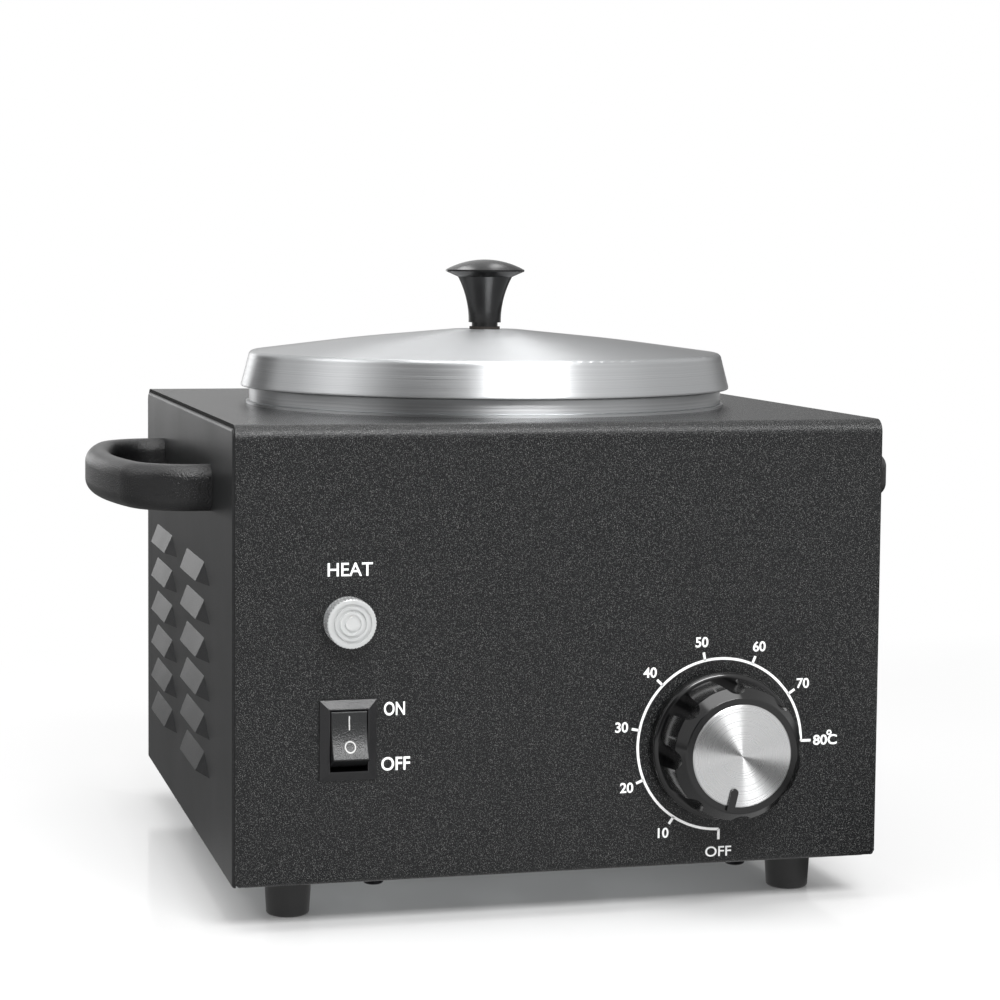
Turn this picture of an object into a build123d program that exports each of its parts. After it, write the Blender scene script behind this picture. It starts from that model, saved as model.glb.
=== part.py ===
from build123d import *
import math
import os

os.makedirs("parts", exist_ok=True)

# A single-pot electric wax warmer. Millimetres, +Z up, X to the right seen from the front, front at -Y.
# The origin is on the table, under the middle of the whole, dial knob and grommet included.

# ---------------------------------------------------------------- case, driving dimensions
BODY_W = 178.0  # case, side to side
BODY_D = 176.0  # case, front to back
BODY_H = 120.0  # case, bottom to top
FOOT_H = 12.0  # the case's bottom above the table
SHEET = 1.0  # case sheet steel
BEND_R = 3.5  # outer bend along the front and back top edges
LIP_BEND_R = 2.0  # outer bend into the bottom lips
LIP = 12.0  # bottom lips of the bent sheet, seen from the front face inwards
LIP_RELIEF = 3.0  # bend relief at each end of the lips
CORNER_CLIP = 1.5  # clipped lower corners of the front and back sheets
SIDE_STEP = 0.5  # each side panel's face stands this far outside the bent sheet's edge
SIDE_FLANGE = 9.0  # flanges of the side panels, welded to the inside of the bent sheet
SIDE_BEND_R = 1.0  # outer bend of those flanges
PANEL_GAP = 0.5  # all round the bottom plate

# louvres in the side panels
LOUVRE_ROWS = 6
LOUVRE_FIRST = 41.0  # flush top line of the first row, below the case top
LOUVRE_PITCH = 10.55
LOUVRE_DROP = 5.4  # from the flush line down to the slit
LOUVRE_SLIT_W = 53.6  # slit length
LOUVRE_TOP_W = 33.6  # flush line length
LOUVRE_LIP_W = 31.0  # length of the hood's free edge
LOUVRE_OUT = 2.3  # hood's free edge, out of the panel
LOUVRE_WALL = 0.9
LOUVRE_FRONT_COLUMN = 67.1  # middle of the front column, behind the front face
LOUVRE_COLUMN_PITCH = 65.6

# handles
HANDLE_SPAN = 104.0  # outside to outside, along the side panel
HANDLE_OUT = 28.0  # how far it stands out
HANDLE_T = 8.0  # radial thickness
HANDLE_H = 12.7
HANDLE_EDGE_R = 3.9
HANDLE_CORNER_R = 20.0  # outer corner of the D
HANDLE_CORNER_SWEEP = 75.0  # degrees of that corner
HANDLE_BELOW_TOP = 19.5  # middle of the handle, below the case top
HANDLE_SCREW_IN = 10.0  # screw reach inside the handle

# feet
FOOT_TOP_D = 13.0
FOOT_BOTTOM_D = 11.5
FOOT_IN_X = 18.0  # middle of a foot from the case's side
FOOT_IN_Y = 20.0  # middle of a foot from the case's front or back
FOOT_RECESS_D = 8.4
FOOT_RECESS = 4.0
FOOT_EDGE_R = 0.8

# fasteners
M4 = 4.0
M3 = 3.0
SCREW_PLAY = 0.2  # hole over screw, on the diameter
NUT_H = 3.2
NUT_AF = 7.0
NUT_AF_M3 = 5.5
NUT_H_M3 = 2.4
HEAD_D = 7.6  # M4 pan heads
HEAD_H = 2.4
HEAD_D_M3 = 5.6
HEAD_H_M3 = 1.8
SCREW_STAND_OUT = 1.5  # screw end beyond its nut
PLATE_SCREW_L = 5.0  # screws through the lips
PLATE_SCREW_IN = 38.0  # those screws from the bent sheet's edge
POST_SCREW_L = 9.0
KNOB_SCREW_HEAD_D = 8.0  # head inside the lid
THERMO_SCREW_HEAD_D = 6.4
THERMO_SCREW_HEAD_H = 1.8
THERMO_SCREW_IN = 6.0  # reach inside the thermostat
VENT_L = 26.0  # slots in the bottom plate
VENT_W = 3.2
VENT_PITCH = 7.0
VENT_ROWS = 6
VENT_X = 20.0
VENT_FIRST_Y = -42.0

# ---------------------------------------------------------------- pot, well and lid
POT_MARGIN = 22.0  # case top in front of and behind the pot
POT_D = BODY_D - 2 * POT_MARGIN  # outside of the pot's wall
POT_WALL = 1.2
POT_FLOOR = 1.5
COLLAR_LAP = 3.5  # rim collar of the pot, beyond its wall
COLLAR_WALL = 1.5
COLLAR_H = 4.4
POT_CORNER_R = 8.0  # outside, between wall and floor
WELL_GAP = 0.8  # pot to well, radially
WELL_WALL = 0.8
WELL_UP = 28.8  # well floor's top face, above the case's bottom
WELL_FLOOR_GAP = 0.6  # pot floor to well floor
WELL_LAP = 4.4  # well's flange, beyond the pot's wall
WELL_FLANGE_T = 0.6
TOP_HOLE_PLAY = 0.6  # case hole over the well, radially
POST_RING_R = 45.0
POST_AF = 7.0
POST_COUNT = 3
POST_FIRST = 75.0  # degrees from +X

LID_LAP = 5.9  # lid's rim, beyond the pot's wall
LID_T = 1.2
LID_HEM_H = 0.6  # straight edge at the lid's rim
LID_SKIRT_H = 10.2  # from the rim's underside to the shoulder
LID_FLARE = 2.5  # lid's rim beyond its shoulder, radially
LID_SHOULDER_R = 1.6
LID_RISE = 6.6  # shoulder to the flat middle
LID_CROWN = 0.5  # the cone's middle bulges this much above its straight line
LID_CROWN_R = 500.0
LID_FLAT_D = 20.0
LID_SPIGOT_H = 2.0  # rolled edge that drops inside the collar
LID_SPIGOT_GAP = 0.3
KNOB_WASHER_T = 0.8
KNOB_WASHER_D = 9.0
KNOB_NECK_D = 7.7
KNOB_NECK_H = 1.2
KNOB_STEM_D = 9.6
KNOB_STEM_TOP_D = 16.0
KNOB_STEM_H = 13.4
KNOB_CAP_D = 23.2
KNOB_CAP_UNDER = 1.6  # underside of the cap rises this much to its edge
KNOB_CAP_DOME = 3.5
KNOB_INSERT_D = 5.6
KNOB_INSERT_H = 10.0
KNOB_INSERT_END = 1.0  # closed end of the insert

# ---------------------------------------------------------------- heating
HEATER_T = 2.6
HEATER_H = 40.0
HEATER_BELOW_TOP = 26.0
HEATER_SPLIT = 9.0  # gap between the clamp ears
EAR_OUT = 9.0
EAR_T = 1.2
SEAT = 0.05  # play of a part wrapped or laid on another
INSULATION_T = 3.6
INSULATION_OVER = 2.0  # beyond the heater, top and bottom
INSULATION_CLEAR = 3.0  # beside the clamp nuts
INSULATION_HOLE = 0.8  # round the beads
STUD_ANGLE = 58.0  # heater studs, degrees from +X, and mirrored
STUD_D = 4.0
STUD_OUT = 10.0
STUD_BELOW_TOP = 46.0
STUD_BASE_D = 9.0
STUD_BASE_H = 4.4
CUTOUT_D = 12.0
CUTOUT_H = 4.6
CUTOUT_X = 0.0
CUTOUT_Y = -20.0
CUTOUT_TAB = 23.6  # hole spacing of its tab plate
CUTOUT_TAB_T = 0.8
CUTOUT_SCREW_H = 3.0
CUTOUT_TAB_W = 7.0
CUTOUT_BLADE_L = 2.0  # half of each side blade

# ---------------------------------------------------------------- controls on the front
DIAL_FROM_RIGHT = 45.8
DIAL_UP = 32.9  # above the case's bottom
DIAL_D = 40.0
DIAL_OUT = 17.0
DIAL_SKIRT_GAP = 0.8
DIAL_SKIRT_H = 3.4
DIAL_SKIRT_EDGE_R = 1.2
DIAL_BODY_D = 37.2  # grip, at the skirt
DIAL_SHOULDER_D = 35.6  # grip, where the front chamfer starts
DIAL_CHAMFER_H = 3.0
DIAL_FACE_D = 30.8  # front ring
DIAL_FLUTES = 8
DIAL_FLUTE_R = 3.4
DIAL_FLUTE_CENTRE = 19.7
DIAL_FLUTE_EDGE_R = 1.6  # rounding between a flute and the lobes beside it
DIAL_FLUTE_FIRST = 3.0  # degrees anticlockwise from the right
DIAL_CAP_D = 27.3
DIAL_CAP_T = 1.0
DIAL_CAP_PROUD = 0.3
DIAL_POINTER_ANGLE = 257.0  # anticlockwise from the right, seen from the front
DIAL_POINTER_W = 2.1
DIAL_POINTER_L = 4.9  # over the metal cap
DIAL_POINTER_PROUD = 0.5  # beyond the metal cap
DIAL_RECESS_D = 37.0
DIAL_RECESS = 2.6
DIAL_HUB_D = 12.0
SHAFT_D = 6.0
SHAFT_PLAY = 0.08  # radial, in the thermostat's bush
SHAFT_REACH = 11.0  # beyond the front face, inside the knob
SHAFT_TAIL = 8.0  # inside the thermostat
SHAFT_FLAT_CUT = 1.3
CLIP_T = 0.5
CLIP_H = 5.0
CLIP_SPLIT = 2.0
CLIP_BEFORE_END = 4.5  # clip's end, before the shaft's
THERMO_W = 34.0
THERMO_H = 32.0
THERMO_DEPTH = 21.0
THERMO_CORNER_R = 2.0
THERMO_SCREWS = 28.0  # spacing of the two screws under the knob
THERMO_BUSH_D = 9.6
THERMO_BUSH_PROUD = 0.3  # beyond the front face
THERMO_BLADES = 14.0  # spacing of the two blades under the body
BLADE_W = 4.8
BLADE_T = 0.8
BLADE_L = 7.5
BLADE_ROOT = 3.0  # blade inside its body

SWITCH_FROM_LEFT = 30.0
SWITCH_UP = 38.1
BEZEL_W = 15.0
BEZEL_H = 21.0
BEZEL_T = 2.0
BEZEL_BEVEL = 1.3  # height of the slope from the outer edge up to the opening
BEZEL_LAND = 0.3  # flat beside the opening
SWITCH_BODY_W = 12.8
SWITCH_BODY_H = 19.2
SWITCH_DEPTH = 17.0
SWITCH_OPEN_W = 10.0
SWITCH_OPEN_H = 16.1
SWITCH_CAVITY = 8.0  # depth of the rocker's space behind the front face
ROCKER_PLAY = 0.2  # rocker to opening, each side
ROCKER_PIVOT_IN = 2.5  # pivot axis behind the front face
ROCKER_END_OUT = 6.5  # rocker's ends in front of its axis, untilted
ROCKER_DISH = 1.2
ROCKER_BACK = 2.5
ROCKER_TILT = 15.0  # degrees each way
ROCKER_END_GAP = 0.3
TRUNNION_D = 2.0
TRUNNION_PLAY = 0.08
TRUNNION_L = 1.0

PILOT_FROM_LEFT = 30.0
PILOT_UP = 69.0
LENS_D = 13.0
LENS_OUT = 5.2
LENS_FLUTES = 44
LENS_FLUTE_R = 0.22
LENS_DISH_D = 10.4
LENS_RING_W = 0.7
LENS_RING_DEPTH = 0.35
LENS_WALL = 1.2
PILOT_BODY_D = 9.8
PILOT_BORE_D = 6.4
PILOT_DEPTH = 20.0
PILOT_BACK_T = 2.0  # closed end of the tube
PILOT_LEADS = 3.2  # spacing of the two leads
PILOT_NUT_D = 14.0
PILOT_NUT_H = 3.5
NEON_D = 4.4
NEON_OUT = 3.0

# ---------------------------------------------------------------- wiring
CORD_FROM_LEFT = 37.0
CORD_UP = 18.0
GROMMET_BORE_D = 7.2
GROMMET_HOLE_D = 11.0
GROMMET_D = 14.6
GROMMET_FLANGE = 1.8
BLOCK_FROM_LEFT = 39.0
BLOCK_FROM_BACK = 32.0
BLOCK_W = 36.0
BLOCK_D = 16.0
BLOCK_H = 13.0
BLOCK_WAYS = 3
BLOCK_WELL_D = 4.0  # screw wells in the block
CLAMP_SCREW_D = 3.6
CLAMP_SCREW_L = 3.6
EARTH_FROM_BLOCK = 34.0
EARTH_FROM_BACK = 22.0
EARTH_TAG_R = 4.5
EARTH_TAG_L = 10.0
EARTH_TAG_W = 4.0
EARTH_TAG_T = 1.0
WIRE_D = 2.2
WIRE_BEND_R = 5.0
WIRE_GRID = 2.0  # the wires are laid on a grid of this pitch
WIRE_GRIP = 5.0  # wire end inside a clamp
WIRE_END_GAP = 0.1  # wire end before a blade or stud
CAPILLARY_D = 1.6
BULB_D = 6.0
BULB_L = 50.0
BULB_Y = 14.0
CAPILLARY_BEND_R = 3.0
CAPILLARY_OFF = 5.0  # beside the shaft's axis
CAPILLARY_ROOT = 3.0  # inside the thermostat
STRAP_T = 0.8  # clips over the bulb
STRAP_W = 8.0
STRAP_FOOT = 7.0

# ---------------------------------------------------------------- levels and places worked out from them
FRONT = -BODY_D / 2
BACK = BODY_D / 2
BOTTOM = FOOT_H
TOP = FOOT_H + BODY_H
FOOT_X = BODY_W / 2 - FOOT_IN_X
FOOT_Y = BODY_D / 2 - FOOT_IN_Y
COLLAR_D = POT_D + 2 * COLLAR_LAP
WELL_FLANGE_D = POT_D + 2 * WELL_LAP
LID_D = POT_D + 2 * LID_LAP
LID_SHOULDER_D = LID_D - 2 * LID_FLARE
WRAP_W = BODY_W - 2 * SIDE_STEP
PLATE_TOP = BOTTOM + 2 * SHEET
POT_R = POT_D / 2
WELL_R = POT_R + WELL_GAP + WELL_WALL
WELL_FLOOR = BOTTOM + WELL_UP
WELL_DEPTH = TOP - WELL_FLOOR
WELL_UNDER = TOP - WELL_DEPTH - WELL_WALL
HOLE_R = WELL_R + TOP_HOLE_PLAY
RIM_LOW = TOP + WELL_FLANGE_T
RIM_HIGH = RIM_LOW + COLLAR_H
LID_SHELF_IN = COLLAR_D / 2 - COLLAR_WALL - LID_SPIGOT_GAP
LID_SHOULDER = RIM_HIGH + LID_SKIRT_H
LID_FLAT = LID_SHOULDER + LID_RISE
HEATER_TOP = TOP - HEATER_BELOW_TOP
HEATER_LOW = HEATER_TOP - HEATER_H
HEATER_R = WELL_R + SEAT
JACKET_R = HEATER_R + HEATER_T + SEAT
HANDLE_Z = TOP - HANDLE_BELOW_TOP
HANDLE_SCREW_Y = HANDLE_SPAN / 2 - HANDLE_T / 2
DIAL_X = BODY_W / 2 - DIAL_FROM_RIGHT
DIAL_Z = BOTTOM + DIAL_UP
SWITCH_X = -BODY_W / 2 + SWITCH_FROM_LEFT
SWITCH_Z = BOTTOM + SWITCH_UP
PILOT_X = -BODY_W / 2 + PILOT_FROM_LEFT
PILOT_Z = BOTTOM + PILOT_UP
CORD_X = -BODY_W / 2 + CORD_FROM_LEFT
CORD_Z = BOTTOM + CORD_UP
BLOCK_X = -BODY_W / 2 + BLOCK_FROM_LEFT
BLOCK_Y = BACK - BLOCK_FROM_BACK
EARTH_X = BLOCK_X + EARTH_FROM_BLOCK
EARTH_Y = BACK - EARTH_FROM_BACK
ROCKER_Y = FRONT + ROCKER_PIVOT_IN
BASE = (Align.CENTER, Align.CENTER, Align.MIN)
# The case is modelled about its own middle. This shift puts the origin under the middle of the whole.
SHIFT_Y = (DIAL_OUT + DIAL_CAP_PROUD + DIAL_POINTER_PROUD - GROMMET_FLANGE) / 2


# ---------------------------------------------------------------- helpers
def rod(d, z0, z1, x=0.0, y=0.0):
    """Upright cylinder of diameter d from z0 to z1."""
    return Pos(x, y, z0) * Cylinder(d / 2, z1 - z0, align=BASE)


def out_of_front(x, z, y=FRONT):
    """A frame on the front face whose own +Z points out of the case, with X to the right and Y up."""
    return Plane(origin=(x, y, z), x_dir=(1, 0, 0), z_dir=(0, -1, 0)).location


def block(x0, x1, y0, y1, z0, z1):
    """Box between two corners."""
    return Pos((x0 + x1) / 2, (y0 + y1) / 2, (z0 + z1) / 2) * Box(x1 - x0, y1 - y0, z1 - z0)


def spun(*points, radii=0.0):
    """Solid of revolution about Z from a closed outline of (radius, height) points."""
    outline = FilletPolyline(*points, radius=radii, close=True) if radii else Polyline(*points, close=True)
    return revolve(Plane.XZ * make_face(outline), Axis.Z)


def side_outline(depth, low, high, top_r, low_r):
    """Closed outline in the YZ plane, with its own radii at the top and bottom corners."""
    corners = [(-depth / 2, low), (depth / 2, low), (depth / 2, high), (-depth / 2, high)]
    wire = FilletPolyline(*corners, radius=[low_r, low_r, top_r, top_r], close=True)
    return Plane.YZ * make_face(wire)


def pan_screw(d, reach, head_d, head_h):
    """Pan head screw along +Z: the head's seat is at 0 and the shank goes up to reach."""
    head = Pos(0, 0, -head_h) * Cylinder(head_d / 2, head_h, align=BASE)
    head = fillet(head.edges().group_by(Axis.Z)[0], head_h * 0.45)
    slot_w = head_d * 0.14
    cross = Box(head_d * 0.5, slot_w, head_h) + Box(slot_w, head_d * 0.5, head_h)
    return head + Cylinder(d / 2, reach, align=BASE) - Pos(0, 0, -head_h) * cross


def hex_nut(d, across_flats, height):
    """Nut standing on 0, with play on its thread."""
    prism = extrude(RegularPolygon(across_flats / 2, 6, major_radius=False), height)
    return prism - Cylinder(d / 2 + SCREW_PLAY / 4, height, align=BASE)


def mirrored(solid):
    """The same piece on the other side of the middle plane."""
    return mirror(solid, about=Plane.YZ)


# ---------------------------------------------------------------- case
def housing_wrap():
    """Front, top and back: one bent sheet with lips along the bottom, and the holes of what it carries."""
    outer = extrude(side_outline(BODY_D, BOTTOM, TOP, BEND_R, LIP_BEND_R), WRAP_W / 2, both=True)
    inner = side_outline(
        BODY_D - 2 * SHEET, BOTTOM + SHEET, TOP - SHEET, BEND_R - SHEET, LIP_BEND_R - SHEET
    )
    shell = outer - extrude(inner, WRAP_W, both=True)
    half = WRAP_W / 2
    shell -= block(-half, half, FRONT + LIP, BACK - LIP, BOTTOM - SHEET, BOTTOM + 2 * SHEET)
    for side in (-1, 1):
        ends = sorted((side * (half - LIP_RELIEF), side * (half + SHEET)))
        shell -= block(*ends, FRONT + SHEET, BACK - SHEET, BOTTOM - SHEET, BOTTOM + LIP_BEND_R + SHEET)
        edge_x = side * half
        corner = [(edge_x, BOTTOM), (edge_x - side * CORNER_CLIP, BOTTOM), (edge_x, BOTTOM + CORNER_CLIP)]
        shell -= extrude(Plane.XZ * make_face(Polyline(*corner, close=True)), BODY_D, both=True)
    shell -= rod(2 * HOLE_R, TOP - 2 * SHEET, TOP + SHEET)
    through = 4 * SHEET
    shell -= out_of_front(PILOT_X, PILOT_Z) * Cylinder(PILOT_BODY_D / 2 + SCREW_PLAY, through)
    cutout = Box(SWITCH_BODY_W + SCREW_PLAY, SWITCH_BODY_H + SCREW_PLAY, through)
    shell -= out_of_front(SWITCH_X, SWITCH_Z) * cutout
    shell -= out_of_front(DIAL_X, DIAL_Z) * Cylinder(THERMO_BUSH_D / 2 + SCREW_PLAY, through)
    for place in thermo_screw_places():
        shell -= place * Cylinder((M4 + SCREW_PLAY) / 2, through)
    shell -= Pos(CORD_X, BACK, CORD_Z) * Rot(90, 0, 0) * Cylinder(GROMMET_HOLE_D / 2, through)
    for x, y in bottom_screw_places():
        shell -= rod(M3 + SCREW_PLAY, BOTTOM - SHEET, BOTTOM + 2 * SHEET, x, y)
    return shell


def bottom_screw_places():
    """Screws through the lips into the bottom plate."""
    reach = WRAP_W / 2 - PLATE_SCREW_IN
    return [(sx * reach, sy * (BODY_D / 2 - LIP / 2 - SHEET)) for sx in (-1, 1) for sy in (-1, 1)]


def thermo_screw_places():
    """The two screws beside the shaft, in frames that point out of the front face."""
    return [out_of_front(DIAL_X + side * THERMO_SCREWS / 2, DIAL_Z) for side in (-1, 1)]


def louvre_hood(shrink):
    """Convex hood on the panel plane x = 0, slit at z = 0; shrink takes the wall off for the hollow."""
    slope = LOUVRE_DROP / LOUVRE_OUT
    top_z = LOUVRE_DROP - shrink * math.hypot(1.0, slope)
    lip_x = LOUVRE_OUT - shrink * math.hypot(1.0, 1.0 / slope)
    slit = LOUVRE_SLIT_W / 2 - 2 * shrink
    top = LOUVRE_TOP_W / 2 - shrink
    lip = LOUVRE_LIP_W / 2 - shrink
    points = [(0, -slit, 0), (0, slit, 0), (0, -top, top_z), (0, top, top_z)]
    points += [(lip_x, -lip, 0), (lip_x, lip, 0)]
    if shrink:
        deep = -SHEET - 0.1
        points += [(deep, -slit, 0), (deep, slit, 0), (deep, -top, top_z), (deep, top, top_z)]
    return ConvexPolyhedron(points)


def right_side_panel():
    """Tray with its flanges inside the bent sheet, louvres punched outwards and holes for the handle."""
    face_x = BODY_W / 2
    back_x = face_x - SIDE_FLANGE
    tray = extrude(
        Pos(back_x, 0, 0)
        * side_outline(BODY_D - 2 * SHEET, BOTTOM, TOP - SHEET, BEND_R - SHEET, SHEET),
        SIDE_FLANGE,
    )
    rim = [e for e in tray.edges() if e.bounding_box().min.X > face_x - 0.01]
    tray = fillet(rim, SIDE_BEND_R * 0.9)
    hollow = side_outline(BODY_D - 4 * SHEET, BOTTOM + SHEET, TOP - 2 * SHEET, SHEET, SHEET / 2)
    tray -= extrude(Pos(back_x - SHEET, 0, 0) * hollow, SIDE_FLANGE)
    inner_x = face_x - SHEET
    clear = LIP_BEND_R + SHEET
    for y0, y1 in ((FRONT, FRONT + LIP + SHEET), (BACK - LIP - SHEET, BACK)):
        tray -= block(back_x - SHEET, inner_x, y0, y1, BOTTOM - SHEET, BOTTOM + clear)
    hood = louvre_hood(0.0)
    hollow_hood = louvre_hood(LOUVRE_WALL)
    for column in range(2):
        y = FRONT + LOUVRE_FRONT_COLUMN + column * LOUVRE_COLUMN_PITCH
        for row in range(LOUVRE_ROWS):
            z = TOP - LOUVRE_FIRST - row * LOUVRE_PITCH - LOUVRE_DROP
            tray = tray + Pos(face_x, y, z) * hood - Pos(face_x, y, z) * hollow_hood
    for side in (-1, 1):
        place = Pos(face_x, side * HANDLE_SCREW_Y, HANDLE_Z) * Rot(0, 90, 0)
        tray -= place * Cylinder((M4 + SCREW_PLAY) / 2, 4 * SHEET)
    return tray


def bottom_plate():
    """Flat plate on the lips and the side flanges, with vent slots, and holes for all that stands on it."""
    half_x = BODY_W / 2 - SHEET - PANEL_GAP
    half_y = BODY_D / 2 - LIP_BEND_R - PANEL_GAP
    plate = block(-half_x, half_x, -half_y, half_y, BOTTOM + SHEET, PLATE_TOP)
    slot = extrude(SlotOverall(VENT_L, VENT_W), 4 * SHEET, both=True)
    for side in (-1, 1):
        for row in range(VENT_ROWS):
            plate -= Pos(side * VENT_X, VENT_FIRST_Y + row * VENT_PITCH, PLATE_TOP) * slot
    for x, y in bottom_screw_places():
        plate -= rod(M3, BOTTOM, PLATE_TOP + SHEET, x, y)
    for x, y in foot_places():
        plate -= rod(M4 + SCREW_PLAY, BOTTOM, PLATE_TOP + SHEET, x, y)
    for x, y in post_places():
        plate -= rod(M4 + SCREW_PLAY, BOTTOM, PLATE_TOP + SHEET, x, y)
    for x in (BLOCK_X - block_pitch() / 2, BLOCK_X + block_pitch() / 2):
        plate -= rod(M3 + SCREW_PLAY, BOTTOM, PLATE_TOP + SHEET, x, BLOCK_Y)
    plate -= rod(M4 + SCREW_PLAY, BOTTOM, PLATE_TOP + SHEET, EARTH_X, EARTH_Y)
    return plate


def bottom_screws():
    """Four short screws, heads under the lips."""
    return [
        Pos(x, y, BOTTOM) * pan_screw(M3 - SCREW_PLAY, PLATE_SCREW_L, HEAD_D_M3, HEAD_H_M3)
        for x, y in bottom_screw_places()
    ]


def foot_places():
    return [(sx * FOOT_X, sy * FOOT_Y) for sx in (-1, 1) for sy in (-1, 1)]


def rubber_feet():
    """Tapered feet under the bottom plate, hollow below for the screw's head."""
    top = BOTTOM + SHEET
    foot = spun(
        (0, 0), (FOOT_BOTTOM_D / 2, 0), (FOOT_TOP_D / 2, top), (0, top), radii=[0, FOOT_EDGE_R, 0, 0]
    )
    foot -= rod(FOOT_RECESS_D, -1.0, FOOT_RECESS)
    foot -= rod(M4 + SCREW_PLAY, 0, top + 1.0)
    return [Pos(x, y, 0) * foot for x, y in foot_places()]


def foot_screws():
    reach = PLATE_TOP + NUT_H + SCREW_STAND_OUT - FOOT_RECESS
    screw = pan_screw(M4, reach, HEAD_D, HEAD_H)
    return [Pos(x, y, FOOT_RECESS) * screw for x, y in foot_places()]


def foot_nuts():
    nut = hex_nut(M4, NUT_AF, NUT_H)
    return [Pos(x, y, PLATE_TOP) * nut for x, y in foot_places()]


def handle_path():
    """Centre line of the D: a short arm, a corner, the long outer arc, a corner and an arm."""
    inset = HANDLE_T / 2
    corner_r = HANDLE_CORNER_R - inset
    sweep_angle = math.radians(HANDLE_CORNER_SWEEP)
    long_r = (HANDLE_SPAN / 2 - HANDLE_CORNER_R) / math.cos(sweep_angle) + corner_r
    rest = HANDLE_OUT - inset - corner_r * math.sin(sweep_angle) - long_r * (1 - math.sin(sweep_angle))
    start = (BODY_W / 2, -HANDLE_SPAN / 2 + inset)
    arm = Line(start, (start[0] + rest, start[1]))
    first = JernArc(arm @ 1, arm % 1, corner_r, HANDLE_CORNER_SWEEP)
    outer = JernArc(first @ 1, first % 1, long_r, 180.0 - 2 * HANDLE_CORNER_SWEEP)
    last = JernArc(outer @ 1, outer % 1, corner_r, HANDLE_CORNER_SWEEP)
    end = Line(last @ 1, (start[0], -start[1]))
    return Pos(0, 0, HANDLE_Z) * Wire([arm, first, outer, last, end])


def right_handle():
    """Moulded D-shaped loop, flat ends on the side panel."""
    path = handle_path()
    section = RectangleRounded(HANDLE_T, HANDLE_H, HANDLE_EDGE_R)
    start = Plane(origin=path @ 0, x_dir=(0, 1, 0), z_dir=(1, 0, 0))
    loop = sweep(start * section, path=path)
    for side in (-1, 1):
        place = Pos(BODY_W / 2, side * HANDLE_SCREW_Y, HANDLE_Z) * Rot(0, 90, 0)
        loop -= place * Cylinder((M4 + SCREW_PLAY / 2) / 2, 2 * HANDLE_SCREW_IN)
    return loop


def handle_screws():
    """Four screws from inside the case into the handles' ends."""
    screws = []
    for side in (-1, 1):
        place = Pos(BODY_W / 2 - SHEET, side * HANDLE_SCREW_Y, HANDLE_Z) * Rot(0, 90, 0)
        screw = place * pan_screw(M4, HANDLE_SCREW_IN, HEAD_D, HEAD_H)
        screws += [screw, mirrored(screw)]
    return screws


# ---------------------------------------------------------------- well, pot and lid
def heating_well():
    """Liner: a flange that lies on the case top, a wall and a floor on the posts."""
    r_out = WELL_R
    r_in = WELL_R - WELL_WALL
    flange_r = WELL_FLANGE_D / 2
    well = spun(
        (0, WELL_UNDER),
        (r_out, WELL_UNDER),
        (r_out, TOP),
        (flange_r, TOP),
        (flange_r, RIM_LOW),
        (r_in, RIM_LOW),
        (r_in, WELL_FLOOR),
        (0, WELL_FLOOR),
        radii=[0, POT_CORNER_R, 0, 0, 0, 0, POT_CORNER_R - WELL_WALL, 0],
    )
    return well


def wax_pot():
    """Lift-out pot: its rim collar stands on the well's flange and its wall hangs in the well."""
    r_in = POT_R - POT_WALL
    collar_out = COLLAR_D / 2
    collar_in = collar_out - COLLAR_WALL
    floor_low = WELL_FLOOR + WELL_FLOOR_GAP
    return spun(
        (0, floor_low),
        (POT_R, floor_low),
        (POT_R, RIM_LOW),
        (collar_out, RIM_LOW),
        (collar_out, RIM_HIGH),
        (collar_in, RIM_HIGH),
        (collar_in, RIM_LOW + POT_WALL),
        (r_in, RIM_LOW + POT_WALL),
        (r_in, floor_low + POT_FLOOR),
        (0, floor_low + POT_FLOOR),
        radii=[0, POT_CORNER_R, 0, 0.4, 0.4, 0.3, 0.3, 0.5, POT_CORNER_R - POT_WALL, 0],
    )


def lid():
    """Spun lid: shallow cone, flared skirt, and a rim rolled inwards that lies on the pot's collar."""
    rim_r = LID_D / 2
    shoulder_r = LID_SHOULDER_D / 2
    flat_r = LID_FLAT_D / 2
    crown_r = (shoulder_r + flat_r) / 2
    crown = (LID_SHOULDER + LID_FLAT) / 2 + LID_CROWN
    spigot_r = LID_SHELF_IN
    shelf_top = RIM_HIGH + LID_T
    hem_top = RIM_HIGH + LID_HEM_H
    body = spun(
        (0, LID_FLAT - LID_T),
        (flat_r, LID_FLAT - LID_T),
        (crown_r, crown - LID_T),
        (shoulder_r - LID_T, LID_SHOULDER - LID_T),
        (rim_r - 1.2 * LID_T, shelf_top),
        (spigot_r - LID_T, shelf_top),
        (spigot_r - LID_T, RIM_HIGH - LID_SPIGOT_H),
        (spigot_r, RIM_HIGH - LID_SPIGOT_H),
        (spigot_r, RIM_HIGH),
        (rim_r, RIM_HIGH),
        (rim_r, hem_top),
        (shoulder_r, LID_SHOULDER),
        (crown_r, crown),
        (flat_r, LID_FLAT),
        (0, LID_FLAT),
        radii=[
            *(0, 3.0, LID_CROWN_R, LID_SHOULDER_R - 0.6, 0.3, 0.5, 0.3),
            *(0.3, 0.3, 0.3, 0.3, LID_SHOULDER_R, LID_CROWN_R, 4.0, 0),
        ],
    )
    return body - rod(M4 + SCREW_PLAY, LID_FLAT - 2 * LID_T, LID_FLAT + LID_T)


def lid_knob_base():
    return LID_FLAT + KNOB_WASHER_T


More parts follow.
